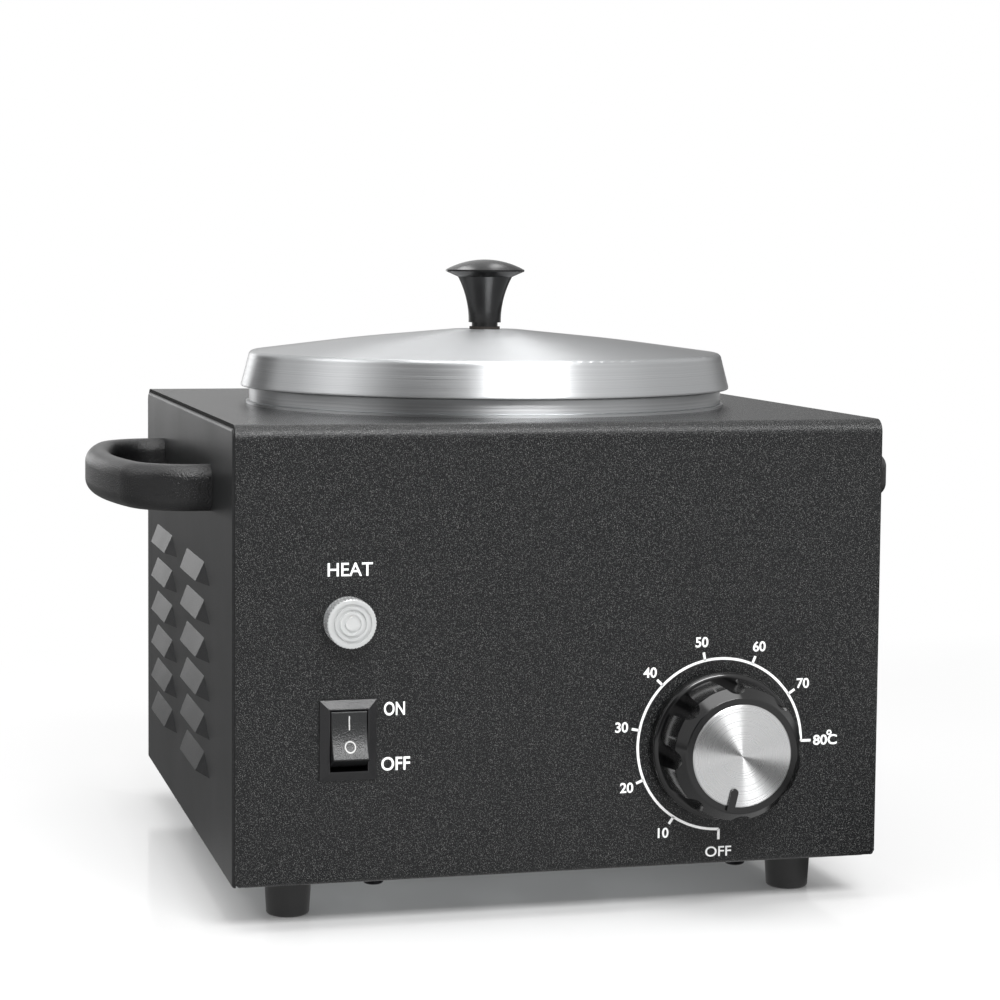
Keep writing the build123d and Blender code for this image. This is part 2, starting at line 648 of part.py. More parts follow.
def lid_knob():
    """Black knob turned in one piece: neck, flared stem and domed cap, with a hole for the insert."""
    z0 = lid_knob_base()
    z1 = z0 + KNOB_NECK_H
    z2 = z1 + KNOB_STEM_H
    z3 = z2 + KNOB_CAP_UNDER
    z4 = z3 + KNOB_CAP_DOME
    stem_r = KNOB_STEM_D / 2
    flare_r = KNOB_STEM_TOP_D / 2
    cap_r = KNOB_CAP_D / 2
    edge = 0.5
    rise = KNOB_CAP_DOME - edge
    dome_r = (cap_r**2 + rise**2) / (2 * rise)
    dome_drop = dome_r - math.sqrt(dome_r**2 - (cap_r / 2) ** 2)
    hole_r = KNOB_INSERT_D / 2
    hole_top = z0 + KNOB_INSERT_H
    neck_r = KNOB_NECK_D / 2
    waist_r = stem_r + (flare_r - stem_r) * 0.22
    lines = [
        Polyline((hole_r, hole_top), (hole_r, z0), (neck_r, z0), (neck_r, z1), (stem_r, z1)),
        ThreePointArc((stem_r, z1), (waist_r, (z1 + z2) / 2), (flare_r, z2)),
        Polyline((flare_r, z2), (cap_r, z3), (cap_r, z3 + edge)),
        ThreePointArc((cap_r, z3 + edge), (cap_r / 2, z4 - dome_drop), (0, z4)),
        Polyline((0, z4), (0, hole_top), (hole_r, hole_top)),
    ]
    return revolve(Plane.XZ * make_face(Wire(Curve() + lines)), Axis.Z)


def lid_knob_insert():
    """Brass insert moulded in the knob, tapped for the screw."""
    z0 = lid_knob_base()
    z1 = z0 + KNOB_INSERT_H
    return rod(KNOB_INSERT_D, z0, z1) - rod(M4, z0 - KNOB_INSERT_END, z1 - KNOB_INSERT_END)


def lid_knob_screw():
    """Screw from inside the lid."""
    reach = LID_T + KNOB_WASHER_T + KNOB_INSERT_H - 2 * KNOB_INSERT_END
    return Pos(0, 0, LID_FLAT - LID_T) * pan_screw(M4 - SCREW_PLAY / 2, reach, KNOB_SCREW_HEAD_D, HEAD_H)


def lid_knob_washer():
    return rod(KNOB_WASHER_D, LID_FLAT, LID_FLAT + KNOB_WASHER_T) - rod(
        M4 + SCREW_PLAY, LID_FLAT - 1.0, LID_FLAT + 2 * KNOB_WASHER_T
    )


# ---------------------------------------------------------------- heating
def post_places():
    step = 360.0 / POST_COUNT
    angles = [math.radians(POST_FIRST + k * step) for k in range(POST_COUNT)]
    return [(POST_RING_R * math.cos(angle), POST_RING_R * math.sin(angle)) for angle in angles]


def well_posts():
    """Hexagonal posts between the bottom plate and the well's floor."""
    height = WELL_UNDER - PLATE_TOP
    post = extrude(RegularPolygon(POST_AF / 2, 6, major_radius=False), height)
    post -= Cylinder(M4 / 2 + SCREW_PLAY / 4, 0.8 * height, align=BASE)
    return [Pos(x, y, PLATE_TOP) * post for x, y in post_places()]


def well_post_screws():
    screw = pan_screw(M4, POST_SCREW_L, HEAD_D, HEAD_H)
    return [Pos(x, y, BOTTOM + SHEET) * screw for x, y in post_places()]


def band(r_in, thickness, z0, z1, split):
    """Band round the well, open at the back by split."""
    ring = rod(2 * (r_in + thickness), z0, z1) - rod(2 * r_in, z0 - 1.0, z1 + 1.0)
    reach = r_in + 4 * thickness
    return ring - block(-split / 2, split / 2, 0, reach, z0 - 1.0, z1 + 1.0)


def band_heater():
    """Mica band in its steel jacket, with two clamp ears at the back."""
    heater = band(HEATER_R, HEATER_T, HEATER_LOW, HEATER_TOP, HEATER_SPLIT)
    ear_root = HEATER_R + HEATER_T / 2 - EAR_T / 2
    ear_tip = HEATER_R + HEATER_T + EAR_OUT
    for side in (-1, 1):
        x_in = side * HEATER_SPLIT / 2
        heater += block(*sorted((x_in, x_in + side * EAR_T)), ear_root, ear_tip, HEATER_LOW, HEATER_TOP)
    for place in clamp_places():
        heater -= place * Cylinder((M4 + SCREW_PLAY) / 2, 4 * HEATER_SPLIT)
    for place in stud_places():
        heater -= place * Cylinder((STUD_D + SCREW_PLAY) / 2, 3 * HEATER_T)
    return heater


def clamp_places():
    """Axis of the clamp screws through both ears, two up the height."""
    y = HEATER_R + HEATER_T + EAR_OUT * 0.55
    return [Pos(0, y, HEATER_LOW + HEATER_H * share) * Rot(0, 90, 0) for share in (0.25, 0.75)]


def band_clamp_screws():
    """Two screws with their nuts, which draw the ears together."""
    parts = []
    half = HEATER_SPLIT / 2 + EAR_T
    for place in clamp_places():
        reach = 2 * half + NUT_H + SCREW_STAND_OUT
        parts.append(place * Pos(0, 0, -half) * pan_screw(M4, reach, HEAD_D, HEAD_H))
        parts.append(place * Pos(0, 0, half) * hex_nut(M4, NUT_AF, NUT_H))
    return parts


def stud_places():
    """The heater's two studs, in frames whose +Z points away from the well."""
    places = []
    for angle in (STUD_ANGLE, 180.0 - STUD_ANGLE):
        turn = Rot(0, 0, angle) * Pos(HEATER_R + HEATER_T, 0, TOP - STUD_BELOW_TOP) * Rot(0, 90, 0)
        places.append(turn)
    return places


def heater_studs():
    """Brass studs in ceramic beads."""
    stud = Pos(0, 0, -HEATER_T * 0.8) * Cylinder(STUD_D / 2, HEATER_T * 0.8 + STUD_OUT, align=BASE)
    return [place * stud for place in stud_places()]


def stud_beads():
    """Ceramic beads that stand on the band and carry the studs."""
    bead = Pos(0, 0, SEAT) * Cylinder(STUD_BASE_D / 2, STUD_BASE_H, align=BASE)
    bead -= Cylinder((STUD_D + SCREW_PLAY) / 2, 3 * STUD_BASE_H)
    round_band = rod(2 * (HEATER_R + HEATER_T + SEAT), HEATER_LOW, HEATER_TOP)
    return [place * bead - round_band for place in stud_places()]


def insulation_jacket():
    """Ceramic-fibre blanket round the band, open at the ears and round the studs."""
    opening = 2 * (HEATER_SPLIT + EAR_T + NUT_H + INSULATION_CLEAR)
    jacket = band(
        JACKET_R, INSULATION_T, HEATER_LOW - INSULATION_OVER, HEATER_TOP + INSULATION_OVER, opening
    )
    for place in stud_places():
        jacket -= place * Cylinder(STUD_BASE_D / 2 + INSULATION_HOLE, 6 * INSULATION_T)
    return jacket


def thermal_cutout():
    """One-shot cut-out: disc body with a tab plate on the well's floor and two side blades."""
    plate_low = WELL_UNDER - CUTOUT_TAB_T
    at = Pos(CUTOUT_X, CUTOUT_Y, 0)
    tab = SlotOverall(CUTOUT_TAB + CUTOUT_TAB_W, CUTOUT_TAB_W)
    plate = at * Pos(0, 0, plate_low) * extrude(tab, CUTOUT_TAB_T)
    plate += rod(CUTOUT_D, plate_low - CUTOUT_H, WELL_UNDER, CUTOUT_X, CUTOUT_Y)
    for side in (-1, 1):
        blade_end = CUTOUT_Y + side * (CUTOUT_D / 2 + 2 * CUTOUT_BLADE_L)
        plate += block(
            CUTOUT_X - BLADE_W / 2,
            CUTOUT_X + BLADE_W / 2,
            *sorted((CUTOUT_Y, blade_end)),
            plate_low - CUTOUT_H,
            plate_low - CUTOUT_H + BLADE_T,
        )
    for x, y in cutout_screw_places():
        plate -= rod(M3 + SCREW_PLAY, plate_low - 1.0, WELL_UNDER + 1.0, x, y)
    return plate


def cutout_screw_places():
    return [(CUTOUT_X + side * CUTOUT_TAB / 2, CUTOUT_Y) for side in (-1, 1)]


def cutout_screws():
    """Nuts on studs welded under the well's floor."""
    low = WELL_UNDER - CUTOUT_TAB_T
    parts = []
    for x, y in cutout_screw_places():
        stud = rod(M3, low - CUTOUT_SCREW_H, WELL_UNDER, x, y)
        nut = extrude(RegularPolygon(NUT_AF_M3 / 2, 6, major_radius=False), NUT_H_M3)
        parts.append(stud + Pos(x, y, low - NUT_H_M3) * nut)
    return parts


# ---------------------------------------------------------------- thermostat and its knob
def thermostat_body():
    """Square steel and ceramic body behind the front sheet, with a bush for the shaft."""
    half_w = THERMO_W / 2
    half_h = THERMO_H / 2
    y0 = FRONT + SHEET
    body = block(DIAL_X - half_w, DIAL_X + half_w, y0, y0 + THERMO_DEPTH, DIAL_Z - half_h, DIAL_Z + half_h)
    body = fillet(body.edges().filter_by(Axis.Y), THERMO_CORNER_R)
    bush = Cylinder(THERMO_BUSH_D / 2, SHEET + THERMO_BUSH_PROUD, align=BASE)
    body += out_of_front(DIAL_X, DIAL_Z) * Pos(0, 0, -SHEET) * bush
    bore = SHAFT_D / 2 + SHAFT_PLAY
    body -= out_of_front(DIAL_X, DIAL_Z) * Pos(0, 0, 4 * SHEET) * Rot(180, 0, 0) * Cylinder(
        bore, 5 * SHEET + SHAFT_TAIL + 1.0, align=BASE
    )
    for place in thermo_screw_places():
        body -= place * Cylinder((M4 + SCREW_PLAY / 2) / 2, 2 * (THERMO_SCREW_IN + 2 * SHEET))
    body -= Pos(capillary_start()) * Rot(90, 0, 0) * Cylinder(
        CAPILLARY_D / 2 + SEAT, 2 * CAPILLARY_ROOT
    )
    for x in blade_xs():
        body -= block(
            x - BLADE_W / 2 - SEAT,
            x + BLADE_W / 2 + SEAT,
            blade_y() - BLADE_T / 2 - SEAT,
            blade_y() + BLADE_T / 2 + SEAT,
            DIAL_Z - half_h - 1.0,
            DIAL_Z - half_h + BLADE_ROOT,
        )
    return body


def blade_y():
    return FRONT + SHEET + THERMO_DEPTH / 2


def blade_xs():
    return [DIAL_X - THERMO_BLADES / 2, DIAL_X + THERMO_BLADES / 2]


def thermostat_terminals():
    """Two push-on blades out of the body's underside."""
    high = DIAL_Z - THERMO_H / 2 + BLADE_ROOT
    low = DIAL_Z - THERMO_H / 2 - BLADE_L
    y0 = blade_y() - BLADE_T / 2
    return [block(x - BLADE_W / 2, x + BLADE_W / 2, y0, y0 + BLADE_T, low, high) for x in blade_xs()]


def thermostat_screws():
    """Two screws beside the shaft, hidden by the knob."""
    reach = SHEET + THERMO_SCREW_IN
    screw = Rot(180, 0, 0) * pan_screw(M4, reach, THERMO_SCREW_HEAD_D, THERMO_SCREW_HEAD_H)
    return [place * screw for place in thermo_screw_places()]


def thermostat_shaft():
    """D-shaft from the thermostat into the knob."""
    length = SHAFT_TAIL + SHEET + SHAFT_REACH
    shaft = Cylinder(SHAFT_D / 2, length, align=BASE)
    flat_low = length - SHAFT_REACH + SHAFT_D / 2
    shaft -= block(-SHAFT_D, SHAFT_D, SHAFT_D / 2 - SHAFT_FLAT_CUT, SHAFT_D, flat_low, length + SHEET)
    return out_of_front(DIAL_X, DIAL_Z) * Pos(0, 0, -SHEET - SHAFT_TAIL) * shaft


def dial_lobes():
    """Outline of the grip: a circle with shallow flutes whose edges are rounded over."""
    outline = Circle(DIAL_BODY_D / 2)
    for k in range(DIAL_FLUTES):
        turn = Rot(0, 0, DIAL_FLUTE_FIRST + k * 360.0 / DIAL_FLUTES)
        outline -= turn * Pos(DIAL_FLUTE_CENTRE, 0) * Circle(DIAL_FLUTE_R)
    return fillet(outline.vertices(), DIAL_FLUTE_EDGE_R)


def dial_knob():
    """Black moulded knob: skirt, fluted grip and the pointer that laps over the metal cap."""
    low = DIAL_SKIRT_GAP
    skirt_top = low + DIAL_SKIRT_H
    profile = [
        (0, low),
        (DIAL_D / 2, low),
        (DIAL_D / 2, skirt_top),
        (DIAL_BODY_D / 2, skirt_top),
        (DIAL_SHOULDER_D / 2, DIAL_OUT - DIAL_CHAMFER_H),
        (DIAL_FACE_D / 2, DIAL_OUT),
        (0, DIAL_OUT),
    ]
    knob = spun(*profile, radii=[0, 0, DIAL_SKIRT_EDGE_R, 0.3, 0.5, 0.4, 0])
    knob -= Pos(0, 0, skirt_top) * extrude(Circle(DIAL_D) - dial_lobes(), DIAL_OUT)
    knob -= Pos(0, 0, DIAL_OUT - DIAL_CAP_T + DIAL_CAP_PROUD) * Cylinder(
        DIAL_CAP_D / 2 + SEAT, 2 * DIAL_CAP_T, align=BASE
    )
    knob += dial_pointer(0.0)
    recess = Cylinder(DIAL_RECESS_D / 2, DIAL_RECESS, align=BASE) - Cylinder(
        DIAL_HUB_D / 2, DIAL_RECESS, align=BASE
    )
    knob -= Pos(0, 0, low) * recess
    knob -= Cylinder(SHAFT_D / 2 + CLIP_T + SEAT, low + SHAFT_REACH + 0.6, align=BASE)
    return out_of_front(DIAL_X, DIAL_Z) * knob


def dial_pointer(grow):
    """Round-tipped pointer finger over the cap's edge; grow widens it for the notch in the cap."""
    r_out = DIAL_FACE_D / 2 - 0.6
    half = DIAL_POINTER_W / 2
    tip_x = DIAL_CAP_D / 2 - DIAL_POINTER_L + half
    z0 = DIAL_OUT - DIAL_CAP_T + DIAL_CAP_PROUD - grow
    z1 = DIAL_OUT + DIAL_CAP_PROUD + DIAL_POINTER_PROUD + grow
    finger = block(tip_x, r_out, -half - grow, half + grow, z0, z1)
    finger += rod(2 * (half + grow), z0, z1, tip_x)
    return Rot(0, 0, DIAL_POINTER_ANGLE) * finger


def dial_knob_cap():
    """Turned aluminium disc let into the knob's face, notched for the pointer."""
    z0 = DIAL_OUT - DIAL_CAP_T + DIAL_CAP_PROUD
    disc = Pos(0, 0, z0) * Cylinder(DIAL_CAP_D / 2, DIAL_CAP_T, align=BASE)
    disc = chamfer(disc.edges().group_by(Axis.Z)[-1], 0.3)
    disc -= dial_pointer(SEAT)
    return out_of_front(DIAL_X, DIAL_Z) * disc


def dial_knob_clip():
    """Spring steel sleeve in the knob's bore, split, which grips the shaft."""
    high = DIAL_SKIRT_GAP + SHAFT_REACH - CLIP_BEFORE_END
    ring = Cylinder(SHAFT_D / 2 + CLIP_T, CLIP_H, align=BASE) - Cylinder(
        SHAFT_D / 2 + SEAT / 2, CLIP_H, align=BASE
    )
    ring -= block(-CLIP_SPLIT / 2, CLIP_SPLIT / 2, -SHAFT_D, 0, 0, CLIP_H)
    return out_of_front(DIAL_X, DIAL_Z) * Pos(0, 0, high - CLIP_H) * ring


def capillary_start():
    """Where the capillary leaves the thermostat's back."""
    return (DIAL_X - CAPILLARY_OFF, FRONT + SHEET + THERMO_DEPTH, WELL_UNDER - BULB_D / 2 - SEAT)


def wire(points, d, bend):
    """Round wire along straight runs joined by arcs."""
    path = FilletPolyline(*points, radius=bend)
    start = Plane(origin=path @ 0, z_dir=path % 0)
    return sweep(start * Circle(d / 2), path=path)


def capillary_tube():
    """Copper capillary from the thermostat to the bulb under the well."""
    x, y, z = capillary_start()
    g = WIRE_GRID
    bulb_x = BULB_L / 2
    post_x = post_places()[-1][0]
    lane_x = post_x + POST_AF / 2 + 2.25 * g
    points = [
        (x, y - g, z),
        (x, y + 2 * g, z),
        (lane_x, y + 8 * g, z),
        (lane_x, BULB_Y - 5 * g, z),
        (bulb_x + 3 * g, BULB_Y, z),
        (bulb_x, BULB_Y, z),
    ]
    return wire(points, CAPILLARY_D, CAPILLARY_BEND_R)


def sensor_bulb():
    """Bulb held flat under the well's floor."""
    z = WELL_UNDER - BULB_D / 2 - SEAT
    bulb = Rot(0, 90, 0) * Cylinder(BULB_D / 2, BULB_L)
    bulb = fillet(bulb.edges(), 1.0)
    return Pos(0, BULB_Y, z) * bulb


def bulb_clips():
    """Two strap clips on the well's floor."""
    z = WELL_UNDER - BULB_D / 2 - SEAT
    r_in = BULB_D / 2 + SEAT
    half_w = STRAP_W / 2
    strap = Cylinder(r_in + STRAP_T, STRAP_W) - Cylinder(r_in, 2 * STRAP_W)
    strap = Rot(0, 90, 0) * strap - Pos(0, 0, BULB_D) * Box(2 * STRAP_W, 4 * BULB_D, BULB_D)
    wall_h = WELL_UNDER - z
    for side in (-1, 1):
        y_in = side * r_in
        strap += block(-half_w, half_w, *sorted((y_in, y_in + side * STRAP_T)), -STRAP_T, wall_h)
        foot_ys = sorted((y_in, y_in + side * STRAP_FOOT))
        strap += block(-half_w, half_w, *foot_ys, wall_h - STRAP_T, wall_h)
    strap -= Rot(0, 90, 0) * Cylinder(r_in, 2 * STRAP_W)
    return [Pos(x, BULB_Y, z) * strap for x in (-BULB_L * 0.3, BULB_L * 0.3)]


# ---------------------------------------------------------------- rocker switch
def switch_housing():
    """Bezel in front of the sheet and a box behind it, hollow for the rocker, with trunnion holes."""
    edge_t = BEZEL_T - BEZEL_BEVEL
    bezel = Box(BEZEL_W, BEZEL_H, edge_t, align=BASE)
    bezel += loft([
        Pos(0, 0, edge_t) * Rectangle(BEZEL_W, BEZEL_H),
        Pos(0, 0, BEZEL_T) * Rectangle(SWITCH_OPEN_W + 2 * BEZEL_LAND, SWITCH_OPEN_H + 2 * BEZEL_LAND),
    ])
    body = Pos(0, 0, -SWITCH_DEPTH) * Box(SWITCH_BODY_W, SWITCH_BODY_H, SWITCH_DEPTH, align=BASE)
    shape = bezel + body
    well = Box(SWITCH_OPEN_W, SWITCH_OPEN_H, SWITCH_CAVITY + 2 * BEZEL_T, align=BASE)
    shape -= Pos(0, 0, -SWITCH_CAVITY) * well
    shape -= Pos(0, 0, -ROCKER_PIVOT_IN) * Rot(0, 90, 0) * Cylinder(
        TRUNNION_D / 2 + TRUNNION_PLAY, SWITCH_BODY_W - 0.4
    )
    for z in switch_blade_offsets():
        shape -= Pos(0, z, -SWITCH_DEPTH) * Box(BLADE_W + 2 * SEAT, BLADE_T + 2 * SEAT, 2 * BLADE_ROOT)
    return out_of_front(SWITCH_X, SWITCH_Z) * shape


def switch_blade_offsets():
    return [-SWITCH_BODY_H * 0.26, SWITCH_BODY_H * 0.26]


def switch_terminals():
    """Two blades out of the back of the switch."""
    blade = Pos(0, 0, -BLADE_L) * Box(BLADE_W, BLADE_T, BLADE_L + BLADE_ROOT, align=BASE)
    at = out_of_front(SWITCH_X, SWITCH_Z) * Pos(0, 0, -SWITCH_DEPTH)
    return [at * Pos(0, z, 0) * blade for z in switch_blade_offsets()]


def switch_rocker():
    """Rocker on two trunnions, dished face, tipped with its upper end in (ON)."""
    tilt = math.radians(ROCKER_TILT)
    room = SWITCH_OPEN_H / 2 - ROCKER_END_GAP
    end_half = (room - ROCKER_END_OUT * math.sin(tilt)) / math.cos(tilt)
    wide_half = room * 0.985
    dish = ROCKER_END_OUT - ROCKER_DISH
    face = [
        Polyline(
            (-end_half, ROCKER_END_OUT),
            (-wide_half, 0),
            (-wide_half + 1.0, -ROCKER_BACK),
            (wide_half - 1.0, -ROCKER_BACK),
            (wide_half, 0),
            (end_half, ROCKER_END_OUT),
        ),
        ThreePointArc((end_half, ROCKER_END_OUT), (0, dish), (-end_half, ROCKER_END_OUT)),
    ]
    profile = Plane.YZ * make_face(Wire(Curve() + face))
    width = SWITCH_OPEN_W - 2 * ROCKER_PLAY
    rocker = extrude(profile, width / 2, both=True)
    front_edges = [e for e in rocker.edges() if e.bounding_box().min.Z > dish - 0.1]
    rocker = fillet(front_edges, 0.35)
    rocker += Rot(0, 90, 0) * Cylinder(TRUNNION_D / 2, width + 2 * TRUNNION_L)
    at = out_of_front(SWITCH_X, SWITCH_Z) * Pos(0, 0, -ROCKER_PIVOT_IN)
    return at * Rot(-ROCKER_TILT, 0, 0) * rocker


# ---------------------------------------------------------------- pilot lamp
def pilot_lens():
    """Clear ribbed lens: fluted wall, a raised rim and rings in the dished face."""
    lens = Cylinder(LENS_D / 2, LENS_OUT, align=BASE)
    lens = fillet(lens.edges().group_by(Axis.Z)[-1], 0.5)
    for k in range(LENS_FLUTES):
        angle = math.radians(k * 360.0 / LENS_FLUTES)
        lens -= Pos(LENS_D / 2 * math.cos(angle), LENS_D / 2 * math.sin(angle), 0.8) * Cylinder(
            LENS_FLUTE_R, LENS_OUT, align=BASE
        )
    radius = LENS_DISH_D / 2
    while radius > 2 * LENS_RING_W:
        ring = Cylinder(radius, LENS_RING_DEPTH, align=BASE) - Cylinder(
            radius - LENS_RING_W, LENS_RING_DEPTH, align=BASE
        )
        lens -= Pos(0, 0, LENS_OUT - LENS_RING_DEPTH) * ring
        radius -= 2 * LENS_RING_W
    lens -= Cylinder(PILOT_BORE_D / 2, LENS_OUT - LENS_WALL, align=BASE)
    return out_of_front(PILOT_X, PILOT_Z) * lens


def pilot_body():
    """Threaded tube through the front sheet, closed at the back but for the leads."""
    tube = Pos(0, 0, -PILOT_DEPTH) * Cylinder(PILOT_BODY_D / 2, PILOT_DEPTH, align=BASE)
    tube -= Pos(0, 0, -PILOT_DEPTH + PILOT_BACK_T) * Cylinder(PILOT_BORE_D / 2, PILOT_DEPTH, align=BASE)
    for x in pilot_lead_offsets():
        tube -= Pos(x, 0, -PILOT_DEPTH) * Cylinder(WIRE_D / 2 + SEAT, 3 * PILOT_BACK_T)
    return out_of_front(PILOT_X, PILOT_Z) * tube


def pilot_lead_offsets():
    return [-PILOT_LEADS / 2, PILOT_LEADS / 2]


def pilot_lamp():
    """Neon bulb inside the tube and the lens, on its two leads' end."""
    length = PILOT_DEPTH + NEON_OUT - PILOT_BACK_T
    bulb = Pos(0, 0, -PILOT_DEPTH + PILOT_BACK_T) * Cylinder(NEON_D / 2, length, align=BASE)
    bulb = fillet(bulb.edges().group_by(Axis.Z)[-1], NEON_D * 0.36)
    return out_of_front(PILOT_X, PILOT_Z) * bulb


def pilot_nut():
    nut = Cylinder(PILOT_NUT_D / 2, PILOT_NUT_H, align=BASE)
    nut -= Cylinder(PILOT_BODY_D / 2 + SEAT, PILOT_NUT_H, align=BASE)
    return out_of_front(PILOT_X, PILOT_Z) * Pos(0, 0, -SHEET - PILOT_NUT_H) * nut


# ---------------------------------------------------------------- wiring
def cord_grommet():
    """Rubber grommet in the back sheet: the cord's way in."""
    flange = GROMMET_D / 2
    neck = GROMMET_HOLE_D / 2 - SEAT
    bore = GROMMET_BORE_D / 2
    half = SHEET / 2
    profile = [
        (bore, -half - GROMMET_FLANGE),
        (flange, -half - GROMMET_FLANGE),
        (flange, -half),
        (neck, -half),
        (neck, half),
        (flange, half),
        (flange, half + GROMMET_FLANGE),
        (bore, half + GROMMET_FLANGE),
    ]
    ring = spun(*profile, radii=[0.4, 0.8, 0, 0, 0, 0, 0.8, 0.4])
    return Pos(CORD_X, BACK - SHEET / 2, CORD_Z) * Rot(90, 0, 0) * ring


def block_pitch():
    return BLOCK_W / BLOCK_WAYS


def block_ways():
    return [BLOCK_X + (k - (BLOCK_WAYS - 1) / 2) * block_pitch() for k in range(BLOCK_WAYS)]


def way_z():
    return PLATE_TOP + BLOCK_H * 0.45


def terminal_block():
    """Three-way block: a bore along Y and a screw well for each way, and two fixing holes."""
    body = Pos(BLOCK_X, BLOCK_Y, PLATE_TOP) * Box(BLOCK_W, BLOCK_D, BLOCK_H, align=BASE)
    body = fillet(body.edges().group_by(Axis.Z)[-1], 1.0)
    for x in block_ways():
        body -= Pos(x, BLOCK_Y, way_z()) * Rot(90, 0, 0) * Cylinder(WIRE_D / 2 + SEAT, 2 * BLOCK_D)
        for side in (-1, 1):
            well_y = BLOCK_Y + side * BLOCK_D / 4
            body -= rod(BLOCK_WELL_D, way_z() + WIRE_D / 2, PLATE_TOP + 2 * BLOCK_H, x, well_y)
    for x in (BLOCK_X - block_pitch() / 2, BLOCK_X + block_pitch() / 2):
        body -= rod(M3 + SCREW_PLAY, BOTTOM, PLATE_TOP + 2 * BLOCK_H, x, BLOCK_Y)
    return body


def terminal_screws():
    """Six clamp screws in the block and the two screws that fix it, with their nuts under the plate."""
    parts = []
    for x in block_ways():
        for side in (-1, 1):
            low = way_z() + WIRE_D / 2 + SEAT
            parts.append(rod(CLAMP_SCREW_D, low, low + CLAMP_SCREW_L, x, BLOCK_Y + side * BLOCK_D / 4))
    screw = Rot(180, 0, 0) * pan_screw(M3, BLOCK_H + SHEET + NUT_H_M3 + SHEET, HEAD_D_M3, HEAD_H_M3)
    nut = Rot(180, 0, 0) * hex_nut(M3, NUT_AF_M3, NUT_H_M3)
    for x in (BLOCK_X - block_pitch() / 2, BLOCK_X + block_pitch() / 2):
        parts.append(Pos(x, BLOCK_Y, PLATE_TOP + BLOCK_H) * screw)
        parts.append(Pos(x, BLOCK_Y, PLATE_TOP - SHEET) * nut)
    return parts


def earth_stud():
    """Earth screw through the bottom plate with its nut, and the ring tag of the earth wire."""
    reach = SHEET + EARTH_TAG_T + NUT_H + SCREW_STAND_OUT
    screw = Pos(EARTH_X, EARTH_Y, PLATE_TOP - SHEET) * pan_screw(M4, reach, HEAD_D, HEAD_H)
    tag = Cylinder(EARTH_TAG_R, EARTH_TAG_T, align=BASE)
    tag += block(0, EARTH_TAG_L, -EARTH_TAG_W / 2, EARTH_TAG_W / 2, 0, EARTH_TAG_T)
    tag -= Cylinder(M4 / 2 + SCREW_PLAY / 4, EARTH_TAG_T, align=BASE)
    tag = Pos(EARTH_X, EARTH_Y, PLATE_TOP) * Rot(0, 0, 180) * tag
    nut = Pos(EARTH_X, EARTH_Y, PLATE_TOP + EARTH_TAG_T) * hex_nut(M4, NUT_AF, NUT_H)
    return [screw, tag, nut]


